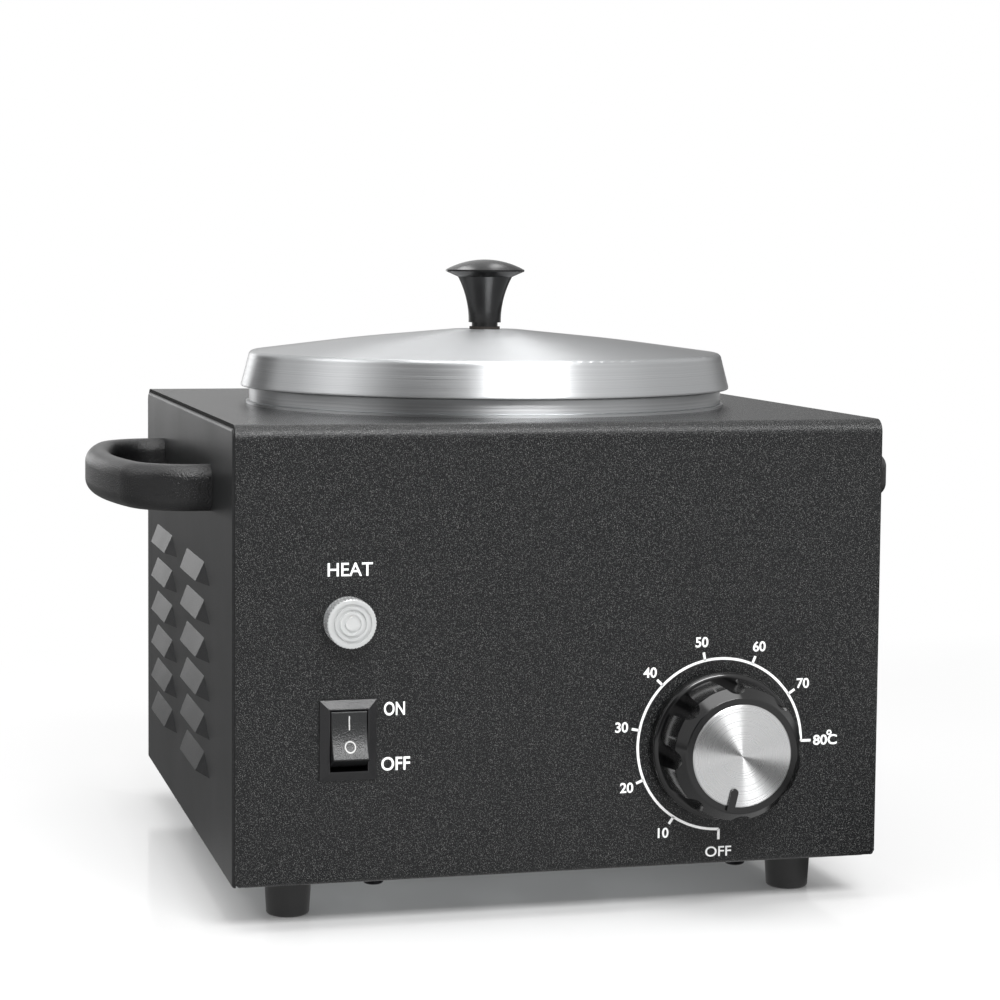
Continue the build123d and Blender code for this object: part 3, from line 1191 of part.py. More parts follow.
def internal_wires():
    """Insulated wires, each from terminal to terminal, in the free space under and before the well."""
    live_x, earth_x, neutral_x = block_ways()
    g = WIRE_GRID
    front_y = BLOCK_Y - BLOCK_D / 2
    rear_y = BLOCK_Y + BLOCK_D / 2
    z_way = way_z()
    switch_low = SWITCH_Z + switch_blade_offsets()[0]
    switch_high = SWITCH_Z + switch_blade_offsets()[1]
    switch_y = FRONT + SWITCH_DEPTH + BLADE_L + WIRE_END_GAP
    lane_y = switch_y + 4.5 * g
    blade_x1, blade_x2 = blade_xs()
    blade_low = DIAL_Z - THERMO_H / 2 - BLADE_L - WIRE_END_GAP
    lane_z = PLATE_TOP + 2 * g
    cut_z = WELL_UNDER - CUTOUT_TAB_T - CUTOUT_H + BLADE_T / 2
    cut_out = CUTOUT_D / 2 + 2 * CUTOUT_BLADE_L + WIRE_END_GAP
    stud_r = HEATER_R + HEATER_T + STUD_OUT + WIRE_D / 2 + WIRE_END_GAP
    stud_x = stud_r * math.cos(math.radians(STUD_ANGLE))
    stud_y = stud_r * math.sin(math.radians(STUD_ANGLE))
    stud_z = TOP - STUD_BELOW_TOP - STUD_D / 2
    lamp_y = FRONT + PILOT_DEPTH - PILOT_BACK_T
    tag_end = EARTH_X - EARTH_TAG_L - WIRE_END_GAP
    tag_z = PLATE_TOP + WIRE_D / 2
    block_top = PLATE_TOP + BLOCK_H
    post_lane = post_places()[1][0] + POST_AF / 2 + 3 * g
    wires = {}
    wires["wire_live"] = [
        (live_x, front_y + WIRE_GRIP, z_way),
        (live_x, lane_y, z_way),
        (SWITCH_X - 0.75 * g, lane_y, switch_low),
        (SWITCH_X - 0.75 * g, switch_y, switch_low),
    ]
    wires["wire_switched"] = [
        (SWITCH_X + 0.5 * g, switch_y, switch_high),
        (SWITCH_X + 0.5 * g, switch_y + 3.5 * g, switch_high),
        (SWITCH_X + 6 * g, switch_y + 1.5 * g, lane_z),
        (blade_x1, switch_y - 3 * g, lane_z),
        (blade_x1, blade_y(), lane_z),
        (blade_x1, blade_y(), blade_low),
    ]
    wires["wire_to_cutout"] = [
        (blade_x2, blade_y(), blade_low),
        (blade_x2, blade_y(), lane_z),
        (blade_x2 - 3 * g, CUTOUT_Y - cut_out - 7 * g, lane_z),
        (CUTOUT_X, CUTOUT_Y - cut_out - 7 * g, lane_z),
        (CUTOUT_X, CUTOUT_Y - cut_out - 4 * g, cut_z),
        (CUTOUT_X, CUTOUT_Y - cut_out, cut_z),
    ]
    wires["wire_to_heater"] = [
        (CUTOUT_X, CUTOUT_Y + cut_out, cut_z),
        (CUTOUT_X, CUTOUT_Y + cut_out + 2.5 * g, cut_z),
        (CUTOUT_X + 2.5 * g, CUTOUT_Y + cut_out + 5.5 * g, cut_z - 4 * g),
        (stud_x - 4 * g, BULB_Y + 6 * g, lane_z + g),
        (stud_x, stud_y, lane_z + g),
        (stud_x, stud_y, stud_z),
    ]
    wires["wire_neutral"] = [
        (-stud_x, stud_y, stud_z),
        (-stud_x, stud_y, z_way + 11 * g),
        (neutral_x, rear_y + 6 * g, z_way),
        (neutral_x, rear_y - WIRE_GRIP, z_way),
    ]
    wires["wire_earth"] = [
        (tag_end, EARTH_Y, tag_z),
        (tag_end - 3 * g, EARTH_Y, tag_z),
        (earth_x + 3.5 * g, rear_y + 7 * g, z_way),
        (earth_x, rear_y + 7 * g, z_way),
        (earth_x, rear_y - WIRE_GRIP, z_way),
    ]
    left, right = pilot_lead_offsets()
    wires["wire_lamp_live"] = [
        (PILOT_X + left, lamp_y, PILOT_Z),
        (PILOT_X + left, lamp_y + 4 * g, PILOT_Z),
        (PILOT_X - 7 * g, lamp_y + 2 * g, PILOT_Z - 12 * g),
        (PILOT_X - 7 * g, lane_y - 4 * g, lane_z),
        (PILOT_X - 7 * g, front_y - 7 * g, lane_z),
        (live_x - 2 * g, front_y - 4 * g, block_top + 2.5 * g),
        (live_x, BLOCK_Y - BLOCK_D / 4, block_top + 2 * g),
        (live_x, BLOCK_Y - BLOCK_D / 4, z_way + WIRE_D / 2 + CLAMP_SCREW_L + WIRE_END_GAP),
    ]
    wires["wire_lamp_neutral"] = [
        (PILOT_X + right, lamp_y, PILOT_Z),
        (PILOT_X + right, lamp_y + 4 * g, PILOT_Z),
        (PILOT_X + 3 * g, lamp_y + 2 * g, PILOT_Z - 6 * g),
        (PILOT_X + 9 * g, lamp_y + 2 * g, PILOT_Z - 18 * g),
        (PILOT_X + 9 * g, lamp_y + 2 * g, z_way + 2.5 * g),
        (post_lane, lamp_y + 11 * g, z_way),
        (post_lane, front_y - 9 * g, z_way),
        (neutral_x, front_y - 4 * g, z_way),
        (neutral_x, front_y + WIRE_GRIP, z_way),
    ]
    return {name: wire(points, WIRE_D, bend_for(points)) for name, points in wires.items()}


def bend_for(points):
    """Largest usual bend that the short runs still leave room for, corner by corner."""
    bends = []
    for a, b, c in zip(points, points[1:], points[2:]):
        run_in = Vector(*b) - Vector(*a)
        run_out = Vector(*c) - Vector(*b)
        turn = math.radians(run_in.get_angle(run_out))
        room = 0.45 * min(run_in.length, run_out.length) / max(math.tan(turn / 2), 0.01)
        bends.append(min(WIRE_BEND_R, room))
    return bends


# ---------------------------------------------------------------- nodes
def nodes():
    panel = right_side_panel()
    handle = right_handle()
    parts = {
        "housing_wrap": housing_wrap(),
        "right_side_panel": panel,
        "left_side_panel": mirrored(panel),
        "bottom_plate": bottom_plate(),
        "bottom_screws": bottom_screws(),
        "rubber_feet": rubber_feet(),
        "foot_screws": foot_screws(),
        "foot_nuts": foot_nuts(),
        "right_handle": handle,
        "left_handle": mirrored(handle),
        "handle_screws": handle_screws(),
        "heating_well": heating_well(),
        "well_posts": well_posts(),
        "well_post_screws": well_post_screws(),
        "band_heater": band_heater(),
        "band_clamp_screws": band_clamp_screws(),
        "heater_studs": heater_studs(),
        "stud_beads": stud_beads(),
        "insulation_jacket": insulation_jacket(),
        "thermal_cutout": thermal_cutout(),
        "cutout_screws": cutout_screws(),
        "wax_pot": wax_pot(),
        "lid": lid(),
        "lid_knob": lid_knob(),
        "lid_knob_insert": lid_knob_insert(),
        "lid_knob_screw": lid_knob_screw(),
        "lid_knob_washer": lid_knob_washer(),
        "thermostat_body": thermostat_body(),
        "thermostat_terminals": thermostat_terminals(),
        "thermostat_screws": thermostat_screws(),
        "thermostat_shaft": thermostat_shaft(),
        "dial_knob": dial_knob(),
        "dial_knob_cap": dial_knob_cap(),
        "dial_knob_clip": dial_knob_clip(),
        "capillary_tube": capillary_tube(),
        "sensor_bulb": sensor_bulb(),
        "bulb_clips": bulb_clips(),
        "switch_housing": switch_housing(),
        "switch_terminals": switch_terminals(),
        "switch_rocker": switch_rocker(),
        "pilot_lens": pilot_lens(),
        "pilot_body": pilot_body(),
        "pilot_lamp": pilot_lamp(),
        "pilot_nut": pilot_nut(),
        "cord_grommet": cord_grommet(),
        "terminal_block": terminal_block(),
        "terminal_screws": terminal_screws(),
        "earth_stud": earth_stud(),
    }
    parts.update(internal_wires())
    return parts


for name, shape in nodes().items():
    pieces = shape if isinstance(shape, list) else [shape]
    solids = [Pos(0, SHIFT_Y, 0) * solid for piece in pieces for solid in piece.solids()]
    node = solids[0] if len(solids) == 1 else Compound(children=solids)
    export_step(node, f"parts/{name}.step")
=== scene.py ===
# %% [markdown]
# # A wax warmer, finished and lit
# The machine is a bent sheet-steel case with a lift-out wax pot. The solids of every part come packed as a
# fixed frame, so this lesson adds only what solids can't carry: finishes, the printed scale and words, light
# and a camera. Everything is in metres, in the frame's own place.

# %% Load the fixed frame
import math

import bmesh
import bpy
from mathutils import Matrix, Vector
from mathutils.bvhtree import BVHTree


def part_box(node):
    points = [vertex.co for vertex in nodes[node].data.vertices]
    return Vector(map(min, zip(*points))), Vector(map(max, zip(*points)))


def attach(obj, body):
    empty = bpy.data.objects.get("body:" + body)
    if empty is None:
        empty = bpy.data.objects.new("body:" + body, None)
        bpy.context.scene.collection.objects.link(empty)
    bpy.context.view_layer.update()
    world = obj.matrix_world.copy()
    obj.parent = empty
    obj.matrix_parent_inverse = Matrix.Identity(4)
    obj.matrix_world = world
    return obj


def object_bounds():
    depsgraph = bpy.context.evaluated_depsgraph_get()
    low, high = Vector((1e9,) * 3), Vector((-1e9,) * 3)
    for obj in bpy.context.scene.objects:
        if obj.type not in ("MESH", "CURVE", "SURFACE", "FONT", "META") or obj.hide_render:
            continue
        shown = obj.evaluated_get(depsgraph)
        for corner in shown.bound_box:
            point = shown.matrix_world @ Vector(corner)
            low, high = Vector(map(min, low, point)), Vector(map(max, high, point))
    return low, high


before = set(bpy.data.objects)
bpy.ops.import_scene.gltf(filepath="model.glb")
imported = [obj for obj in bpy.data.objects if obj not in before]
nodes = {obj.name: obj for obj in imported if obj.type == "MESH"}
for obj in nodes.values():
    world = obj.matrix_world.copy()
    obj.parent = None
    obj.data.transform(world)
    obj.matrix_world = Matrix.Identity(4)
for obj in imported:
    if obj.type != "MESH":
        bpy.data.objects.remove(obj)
cad_low, cad_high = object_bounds()
MM = 0.001
print("nodes", len(nodes), "box in mm", [round(v / MM, 1) for v in (*cad_low, *cad_high)])

# %% [markdown]
# ## The camera
# A product camera stands a little to the left of the case and just above the lid, with a long lens so that
# upright edges stay nearly upright. The place and the angles were worked out from the corners of the case.
# The lens is shifted a little, as on a view camera, which moves the case in the frame without turning the
# camera.

# %% Camera
CAMERA_PLACE_MM = (-188.6, -706.1, 175.5)
CAMERA_YAW, CAMERA_PITCH, CAMERA_ROLL = (math.radians(a) for a in (-13.79, -4.24, 0.42))
LENS_MM = 89.8
LENS_SHIFT = 0.06

turn = (
    Matrix.Rotation(CAMERA_ROLL, 3, "Y")
    @ Matrix.Rotation(-CAMERA_PITCH, 3, "X")
    @ Matrix.Rotation(-CAMERA_YAW, 3, "Z")
)
axes = Matrix((turn[0], turn[2], -turn[1])).transposed()
camera = bpy.data.objects.new("camera", bpy.data.cameras.new("camera"))
bpy.context.scene.collection.objects.link(camera)
camera.data.lens = LENS_MM
camera.data.shift_x = LENS_SHIFT
camera.data.shift_y = -LENS_SHIFT
camera.data.clip_start = 0.05
camera.matrix_world = Matrix.Translation(Vector(CAMERA_PLACE_MM) * MM) @ axes.to_4x4()
bpy.context.scene.camera = camera
print("camera looks along", [round(v, 3) for v in -axes.col[2]])

# %% [markdown]
# ## Colours and nodes
# Colours are written as they look on a screen, as sRGB hex, and one function turns them to the linear values
# that shaders use. One small function adds a node: a plain value is set on its socket and a socket is linked.
# Another makes a material, and a third gives it to solids of the frame.


# %% Helpers for materials
def colour(code):
    """Linear RGBA of an sRGB hex colour."""
    channels = [int(code[i : i + 2], 16) / 255 for i in (1, 3, 5)]
    return (*[c / 12.92 if c <= 0.04045 else ((c + 0.055) / 1.055) ** 2.4 for c in channels], 1.0)


def add(tree, kind, inputs=(), **settings):
    """Adds a node with its settings. inputs maps a socket's name or number to a value or to a socket."""
    node = tree.nodes.new(kind)
    for key, value in settings.items():
        setattr(node, key, value)
    for key, value in dict(inputs).items():
        if isinstance(value, bpy.types.NodeSocket):
            tree.links.new(value, node.inputs[key])
        else:
            node.inputs[key].default_value = value
    return node


def new_material(name, **shader):
    """A material with a Principled shader, whose sockets are set by name, with _ for a space."""
    material = bpy.data.materials.new(name)
    material.use_nodes = True
    bsdf = material.node_tree.nodes["Principled BSDF"]
    for key, value in shader.items():
        bsdf.inputs[key.replace("_", " ")].default_value = value
    return material, material.node_tree, bsdf


def paint(material, *names):
    """Gives a material to CAD nodes."""
    for name in names:
        slots = nodes[name].data.materials
        slots.clear()
        slots.append(material)
    print(material.name, "on", ", ".join(names))


# %% [markdown]
# ## Powder coat
# The case is steel sheet under a polyester powder coat. The front, top and back have a fine-textured charcoal
# coat: the powder flows out into a dense pebble of a few tenths of a millimetre, and pale glints of light are
# painted on it as specks of colour. One noise gives the pebble's bump and tone, and a finer one, cut off
# high, leaves only the painted glints. The cut edges of the sheet lie in the groove beside the side panels.
# Their colour is a near-black painted shade of that groove, and their gloss is duller. The side panels have a
# smoother, greyer coat from the same powder.


# %% Powder coats
FILM_MM, FILM_SPREAD = 30.0, 0.04  # size and strength of the slow change of gloss
GLINT_TO_PEBBLE = 0.6  # size of a painted glint as a share of a pebble
# The cut edges' near-black colour is painted shade of the groove beside the side panels; their duller gloss
# is real.
GROOVE_SHADE, CUT_EDGE_DULL = "#060606", 0.6
SHEET_EDGE_MM = 88.45  # from the middle, just inside the bent sheet's cut edge
NO_CUT_EDGE_MM = 1000.0


def powder_coat(name, dark, light, grain, pebble_mm, depth_mm, roughness, glint_share, edge_mm):
    """A pebbled coat with painted glints in pale specks, and painted shade with a duller gloss further than
    edge_mm from the middle.
    """
    material, tree, bsdf = new_material(name, IOR=1.5, Specular_IOR_Level=0.35)
    place = add(tree, "ShaderNodeTexCoord").outputs["Object"]
    pebble = add(
        tree,
        "ShaderNodeTexNoise",
        {"Vector": place, "Scale": 1 / (pebble_mm * MM), "Detail": 3.0, "Roughness": 0.6},
    ).outputs["Fac"]
    pebble_tone = add(tree, "ShaderNodeMapRange", {"Value": pebble, "From Min": 0.4, "From Max": 0.6})
    film = add(tree, "ShaderNodeTexNoise", {"Vector": place, "Scale": 1 / (FILM_MM * MM), "Detail": 2.0})
    fine = add(
        tree,
        "ShaderNodeTexNoise",
        {"Vector": place, "Scale": 1 / (GLINT_TO_PEBBLE * pebble_mm * MM), "Detail": 1.0},
    ).outputs["Fac"]
    # Painted glints: the high tail of the fine noise mixes pale specks into the colour, standing in for
    # sparkle of light on the pebble.
    painted_glints = add(
        tree,
        "ShaderNodeMapRange",
        {"Value": fine, "From Min": 0.6, "From Max": 0.74, "To Max": glint_share},
    ).outputs["Result"]
    tone = add(
        tree,
        "ShaderNodeMix",
        {"Factor": pebble_tone.outputs["Result"], "A": colour(dark), "B": colour(light)},
        data_type="RGBA",
    ).outputs["Result"]
    face = add(
        tree, "ShaderNodeMix", {"Factor": painted_glints, "A": tone, "B": colour(grain)}, data_type="RGBA"
    ).outputs["Result"]
    across = add(tree, "ShaderNodeSeparateXYZ", {"Vector": place}).outputs["X"]
    aside = add(tree, "ShaderNodeMath", {0: across}, operation="ABSOLUTE").outputs[0]
    # Painted shade: further than edge_mm from the middle, the cut edges in the groove turn near black and
    # duller.
    shaded_edge = add(tree, "ShaderNodeMath", {0: aside, 1: edge_mm * MM}, operation="GREATER_THAN").outputs[0]
    coat = add(
        tree, "ShaderNodeMix", {"Factor": shaded_edge, "A": face, "B": colour(GROOVE_SHADE)}, data_type="RGBA"
    )
    tree.links.new(coat.outputs["Result"], bsdf.inputs["Base Color"])
    shine = add(
        tree,
        "ShaderNodeMapRange",
        {
            "Value": film.outputs["Fac"],
            "To Min": roughness - FILM_SPREAD,
            "To Max": roughness + FILM_SPREAD,
        },
    ).outputs["Result"]
    dull = add(
        tree, "ShaderNodeMath", {0: shaded_edge, 1: CUT_EDGE_DULL, 2: shine}, operation="MULTIPLY_ADD"
    )
    tree.links.new(dull.outputs[0], bsdf.inputs["Roughness"])
    bump = add(
        tree, "ShaderNodeBump", {"Height": pebble, "Strength": 1.0, "Distance": depth_mm * MM}
    )
    tree.links.new(bump.outputs["Normal"], bsdf.inputs["Normal"])
    return material


# The third colour of each coat is that of its painted glints.
textured_coat = powder_coat(
    "textured_powder_coat", "#08090a", "#191a1b", "#acacaa", 0.32, 0.12, 0.2, 0.36, SHEET_EDGE_MM
)
panel_coat = powder_coat(
    "fine_powder_coat", "#161718", "#1f2021", "#5c5c5c", 0.4, 0.02, 0.36, 0.3, NO_CUT_EDGE_MM
)
paint(textured_coat, "housing_wrap")
paint(panel_coat, "left_side_panel", "right_side_panel")

# %% [markdown]
# ## Spun and turned aluminium
# The lid, the pot and its rim are spun from aluminium disc and finished with an abrasive pad while they turn,
# which leaves concentric scratches. Light then spreads across the scratches and not along them, and shows as
# bright wedges that meet at the middle. The shader's anisotropy does that when its tangent runs round the
# axis and its rotation is a quarter turn. The tangent is the axis crossed with the place on the part. The
# scratches are a noise along one line, which runs outward over the face and on down the side, with a small
# drift. Real ones are near 0.1 mm apart, and these are up to 0.5 mm apart, so that they show.


# %% Aluminium
ACROSS_THE_SCRATCH = 0.25
DRIFT_MM, WANDER_MM = 12.0, 0.6  # over the first length, a scratch strays from its circle by the second
GLOSS_SPREAD = 0.06


def turned_metal(name, axis, centre, dark, light, roughness, anisotropy, scratch_mm, depth_mm):
    """Metal with scratches that run round the axis through centre."""
    material, tree, bsdf = new_material(
        name, Metallic=1.0, Anisotropic=anisotropy, Anisotropic_Rotation=ACROSS_THE_SCRATCH
    )
    place = add(tree, "ShaderNodeTexCoord").outputs["Object"]
    arm = add(tree, "ShaderNodeVectorMath", {0: place, 1: centre}, operation="SUBTRACT").outputs[0]
    along = add(tree, "ShaderNodeVectorMath", {0: arm, 1: axis}, operation="DOT_PRODUCT").outputs["Value"]
    lift = add(tree, "ShaderNodeVectorMath", {0: axis, "Scale": along}, operation="SCALE").outputs[0]
    flat = add(tree, "ShaderNodeVectorMath", {0: arm, 1: lift}, operation="SUBTRACT").outputs[0]
    radius = add(tree, "ShaderNodeVectorMath", {0: flat}, operation="LENGTH").outputs["Value"]
    reach = add(tree, "ShaderNodeMath", {0: radius, 1: along}, operation="SUBTRACT").outputs[0]
    drift = add(
        tree, "ShaderNodeTexNoise", {"Vector": place, "Scale": 1 / (DRIFT_MM * MM), "Detail": 1.0}
    ).outputs["Fac"]
    wander = add(tree, "ShaderNodeMath", {0: drift, 1: WANDER_MM * MM, 2: reach}, operation="MULTIPLY_ADD")
    scratch = add(
        tree,
        "ShaderNodeTexNoise",
        {"W": wander.outputs[0], "Scale": 1 / (scratch_mm * MM), "Detail": 4.0, "Roughness": 0.6},
        noise_dimensions="1D",
    ).outputs["Fac"]
    tone = add(
        tree, "ShaderNodeMix", {"Factor": scratch, "A": colour(dark), "B": colour(light)}, data_type="RGBA"
    )
    tree.links.new(tone.outputs["Result"], bsdf.inputs["Base Color"])
    shine = add(
        tree,
        "ShaderNodeMapRange",
        {
            "Value": scratch,
            "From Min": 0.3,
            "From Max": 0.7,
            "To Min": roughness - GLOSS_SPREAD,
            "To Max": roughness + GLOSS_SPREAD,
        },
    )
    tree.links.new(shine.outputs["Result"], bsdf.inputs["Roughness"])
    bump = add(tree, "ShaderNodeBump", {"Height": scratch, "Strength": 0.6, "Distance": depth_mm * MM})
    tree.links.new(bump.outputs["Normal"], bsdf.inputs["Normal"])
    around = add(tree, "ShaderNodeVectorMath", {0: axis, 1: flat}, operation="CROSS_PRODUCT").outputs[0]
    world = add(
        tree,
        "ShaderNodeVectorTransform",
        {"Vector": around},
        vector_type="VECTOR",
        convert_from="OBJECT",
        convert_to="WORLD",
    )
    tree.links.new(world.outputs["Vector"], bsdf.inputs["Tangent"])
    return material


def middle(name):
    """The middle of a CAD node's box."""
    low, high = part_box(name)
    return (low + high) / 2


UPRIGHT = (0.0, 0.0, 1.0)
OUTWARD = (0.0, -1.0, 0.0)
lid_middle = tuple(middle("lid"))
dial_middle = tuple(middle("dial_knob_cap"))
spun_aluminium = turned_metal(
    "spun_aluminium", UPRIGHT, lid_middle, "#aaacae", "#d6d7d8", 0.36, 0.8, 0.5, 0.02
)
turned_cap = turned_metal(
    "turned_aluminium", OUTWARD, dial_middle, "#c4c5c6", "#ececec", 0.3, 1.0, 0.35, 0.01
)
paint(spun_aluminium, "lid", "wax_pot", "heating_well")
paint(turned_cap, "dial_knob_cap")

# %% [markdown]
# ## Moulded plastics and rubber
# The black pieces are not one black. The knob on the lid is hard, glossy phenolic. The handles are
# glass-filled nylon with a satin skin. The dial is glossy ABS, the switch and its rocker are satin nylon,
# and the feet are duller rubber. Each gets its own level of gloss, a mould grain and a slow change of tone
# and gloss, where hands and mould flow leave their trace.


# %% Plastics
FLOW_MM = 14.0  # size of the slow change of tone and gloss


def moulded(name, dark, light, roughness, grain_mm, depth_mm, ior=1.5, spread=0.05, **shader):
    """Anything moulded, printed or fired: a fine grain, and a slow change of tone and gloss."""
    material, tree, bsdf = new_material(name, IOR=ior, **shader)
    place = add(tree, "ShaderNodeTexCoord").outputs["Object"]
    grain = add(
        tree, "ShaderNodeTexNoise", {"Vector": place, "Scale": 1 / (grain_mm * MM), "Detail": 3.0}
    ).outputs["Fac"]
    cloud = add(
        tree, "ShaderNodeTexNoise", {"Vector": place, "Scale": 1 / (FLOW_MM * MM), "Detail": 2.0}
    ).outputs["Fac"]
    tone = add(
        tree, "ShaderNodeMix", {"Factor": cloud, "A": colour(dark), "B": colour(light)}, data_type="RGBA"
    )
    tree.links.new(tone.outputs["Result"], bsdf.inputs["Base Color"])
    shine = add(
        tree,
        "ShaderNodeMapRange",
        {"Value": cloud, "To Min": roughness - spread, "To Max": roughness + spread},
    )
    tree.links.new(shine.outputs["Result"], bsdf.inputs["Roughness"])
    bump = add(tree, "ShaderNodeBump", {"Height": grain, "Strength": 1.0, "Distance": depth_mm * MM})
    tree.links.new(bump.outputs["Normal"], bsdf.inputs["Normal"])
    return material


phenolic = moulded("phenolic", "#0b0b0c", "#131314", 0.22, 0.8, 0.004)
nylon = moulded("glass_filled_nylon", "#0b0b0c", "#121213", 0.3, 0.45, 0.2)
gloss_abs = moulded("gloss_abs", "#090909", "#0e0e0f", 0.14, 1.2, 0.003, ior=1.54)
switch_nylon = moulded("nylon_66", "#141415", "#1a1a1c", 0.34, 0.4, 0.09)
rocker_nylon = moulded("satin_nylon", "#161718", "#1f2021", 0.34, 0.4, 0.12)
rubber = moulded("black_rubber", "#272727", "#313131", 0.5, 0.5, 0.04)
terminal_nylon = moulded("natural_polyamide", "#d8d3c4", "#e6e2d6", 0.45, 0.6, 0.01)
white_nylon = moulded("white_nylon", "#dcdcd8", "#e8e8e5", 0.4, 0.8, 0.01)
fibre_washer = moulded("vulcanised_fibre", "#17130f", "#221c17", 0.7, 0.4, 0.02)
paint(phenolic, "lid_knob")
paint(nylon, "left_handle", "right_handle", "cord_grommet")
paint(gloss_abs, "dial_knob")
paint(switch_nylon, "switch_housing")
paint(rocker_nylon, "switch_rocker")
paint(rubber, "rubber_feet")
paint(terminal_nylon, "terminal_block")
paint(white_nylon, "pilot_body", "pilot_nut")
paint(fibre_washer, "lid_knob_washer")

# %% [markdown]
# ## The pilot lens
# The lens is clear polycarbonate over a small neon lamp: fluted round its edge and ringed on its face so
# that it scatters the glow. The shader lets half the light through and scatters the rest, so that the lens
# looks pale when unlit.

# %% Lens and lamp
lens_clear = moulded(
    "clear_polycarbonate", "#eceeee", "#f4f5f5", 0.08, 0.6, 0.012, ior=1.585, Transmission_Weight=0.5
)
lamp_glass = moulded(
    "neon_lamp_glass", "#e6c9b4", "#f0dccb", 0.1, 1.0, 0.002, ior=1.5, Transmission_Weight=0.5
)
paint(lens_clear, "pilot_lens")
paint(lamp_glass, "pilot_lamp")

# %% [markdown]
# ## Hidden metals, wires and insulation
# Under the case are plated fasteners, a galvanised plate, brass studs, a copper capillary, a mica band in a
# steel jacket, ceramic beads and a fibre blanket, and silicone-insulated leads. They are seen only from below
# or through the louvres, but each is finished as what it is. Molten zinc sets in crystals of different tone,
# so a cell noise draws patches, large on the galvanised plate and small on the fasteners.


# %% Metals
GRAINS_PER_PATCH, GRAIN_SPREAD = 4, 0.08


def worked_metal(name, dark, light, roughness, patch_mm, depth_mm):
    """Metal with patches of tone and a fine grain of gloss and height."""
    material, tree, bsdf = new_material(name, Metallic=1.0)
    place = add(tree, "ShaderNodeTexCoord").outputs["Object"]
    patch = add(tree, "ShaderNodeTexVoronoi", {"Vector": place, "Scale": 1 / (patch_mm * MM)})
    shade = add(tree, "ShaderNodeSeparateColor", {"Color": patch.outputs["Color"]}).outputs["Green"]
    grain = add(
        tree,
        "ShaderNodeTexNoise",
        {"Vector": place, "Scale": GRAINS_PER_PATCH / (patch_mm * MM), "Detail": 3.0},
    ).outputs["Fac"]
    tone = add(
        tree, "ShaderNodeMix", {"Factor": shade, "A": colour(dark), "B": colour(light)}, data_type="RGBA"
    )
    tree.links.new(tone.outputs["Result"], bsdf.inputs["Base Color"])
    shine = add(
        tree,
        "ShaderNodeMapRange",
        {"Value": grain, "To Min": roughness - GRAIN_SPREAD, "To Max": roughness + GRAIN_SPREAD},
    )
    tree.links.new(shine.outputs["Result"], bsdf.inputs["Roughness"])
    bump = add(tree, "ShaderNodeBump", {"Height": grain, "Strength": 0.5, "Distance": depth_mm * MM})
    tree.links.new(bump.outputs["Normal"], bsdf.inputs["Normal"])
    return material


galvanised = worked_metal("galvanised_steel", "#9fa3a5", "#c4c8c9", 0.38, 6.0, 0.01)
zinc_plate = worked_metal("zinc_plated_steel", "#a9adb0", "#c9cccf", 0.28, 2.0, 0.004)
brass = worked_metal("brass", "#b3924f", "#c9a963", 0.3, 2.0, 0.004)
copper = worked_metal("copper", "#b56f4e", "#c98362", 0.32, 2.0, 0.004)
heater_steel = worked_metal("heat_tinted_steel", "#8f8a80", "#b2ac9f", 0.4, 8.0, 0.01)
black_zinc = worked_metal("black_zinc_steel", "#161617", "#242426", 0.4, 1.5, 0.004)
bright_steel = worked_metal("bright_steel", "#a2a4a6", "#bdbfc0", 0.24, 1.0, 0.003)
paint(galvanised, "bottom_plate")
paint(black_zinc, "bottom_screws")
paint(bright_steel, "thermostat_body", "thermostat_shaft")
paint(
    zinc_plate,
    "foot_screws",
    "foot_nuts",
    "handle_screws",
    "well_posts",
    "well_post_screws",
    "band_clamp_screws",
    "cutout_screws",
    "lid_knob_screw",
    "dial_knob_clip",
    "thermostat_screws",
    "bulb_clips",
    "earth_stud",
)
paint(brass, "heater_studs", "lid_knob_insert", "thermostat_terminals", "switch_terminals", "terminal_screws")
paint(copper, "capillary_tube", "sensor_bulb")
paint(heater_steel, "band_heater")

# %% [markdown]
# ## Ceramics, blanket and leads
# The beads and the cutout's body are steatite, and the blanket is ceramic fibre with a coarse nap. Leads are
# coloured by what they carry: brown for live, blue for neutral, and green with yellow for earth. They share
# the plastics' function, because a fired or extruded surface has the same kind of grain.

# %% Insulation and leads
ceramic = moulded("steatite", "#e4dfd2", "#f1ede3", 0.5, 0.5, 0.01)
fibre = moulded("ceramic_fibre", "#dedbd2", "#f2f0ea", 0.9, 1.2, 0.25, ior=1.4)
paint(ceramic, "stud_beads", "thermal_cutout")
paint(fibre, "insulation_jacket")
lead_colours = {
    "brown_silicone": (
        "#5a3420",
        "#6a3f28",
        ("wire_live", "wire_switched", "wire_to_cutout", "wire_to_heater", "wire_lamp_live"),
    ),
    "blue_silicone": ("#1f4f96", "#285da8", ("wire_neutral", "wire_lamp_neutral")),
    "green_silicone": ("#3f8a35", "#c9c430", ("wire_earth",)),
}
for lead, (dark, light, owners) in lead_colours.items():
    paint(moulded(lead, dark, light, 0.35, 0.8, 0.005), *owners)

# %% [markdown]
# ## Printed scale and words
# The scale ring, its ticks and numbers, and the words by the lamp and the switch are screen-printed in white
# ink. A print is a film with a crisp edge, so each is a thin real mesh that stands a few hundredths of a
# millimetre off the face. The ring's line is an edge spun round the dial's axis, ticks are small blocks, and
# letters are text made into a mesh and then set to the printed height and width.

# %% Ink
INK_PROUD = 0.05 * MM
ink = moulded("screen_ink", "#f7f7f6", "#ffffff", 0.5, 0.5, 0.004)
face_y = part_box("housing_wrap")[0].y
dial_x, dial_z = dial_middle[0], dial_middle[2]
# A frame on the front face: x to the right, y up, z out of the face.
front_face = Matrix(((1, 0, 0, 0), (0, 0, -1, face_y), (0, 1, 0, 0), (0, 0, 0, 1)))


def finished_piece(name, mesh, material, body):
    """Links a mesh whose place is already in its points, gives it its finish and its body."""
    piece = bpy.data.objects.new(name, mesh)
    bpy.context.scene.collection.objects.link(piece)
    mesh.materials.clear()
    mesh.materials.append(material)
    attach(piece, body)
    print(name, len(mesh.polygons), "faces")


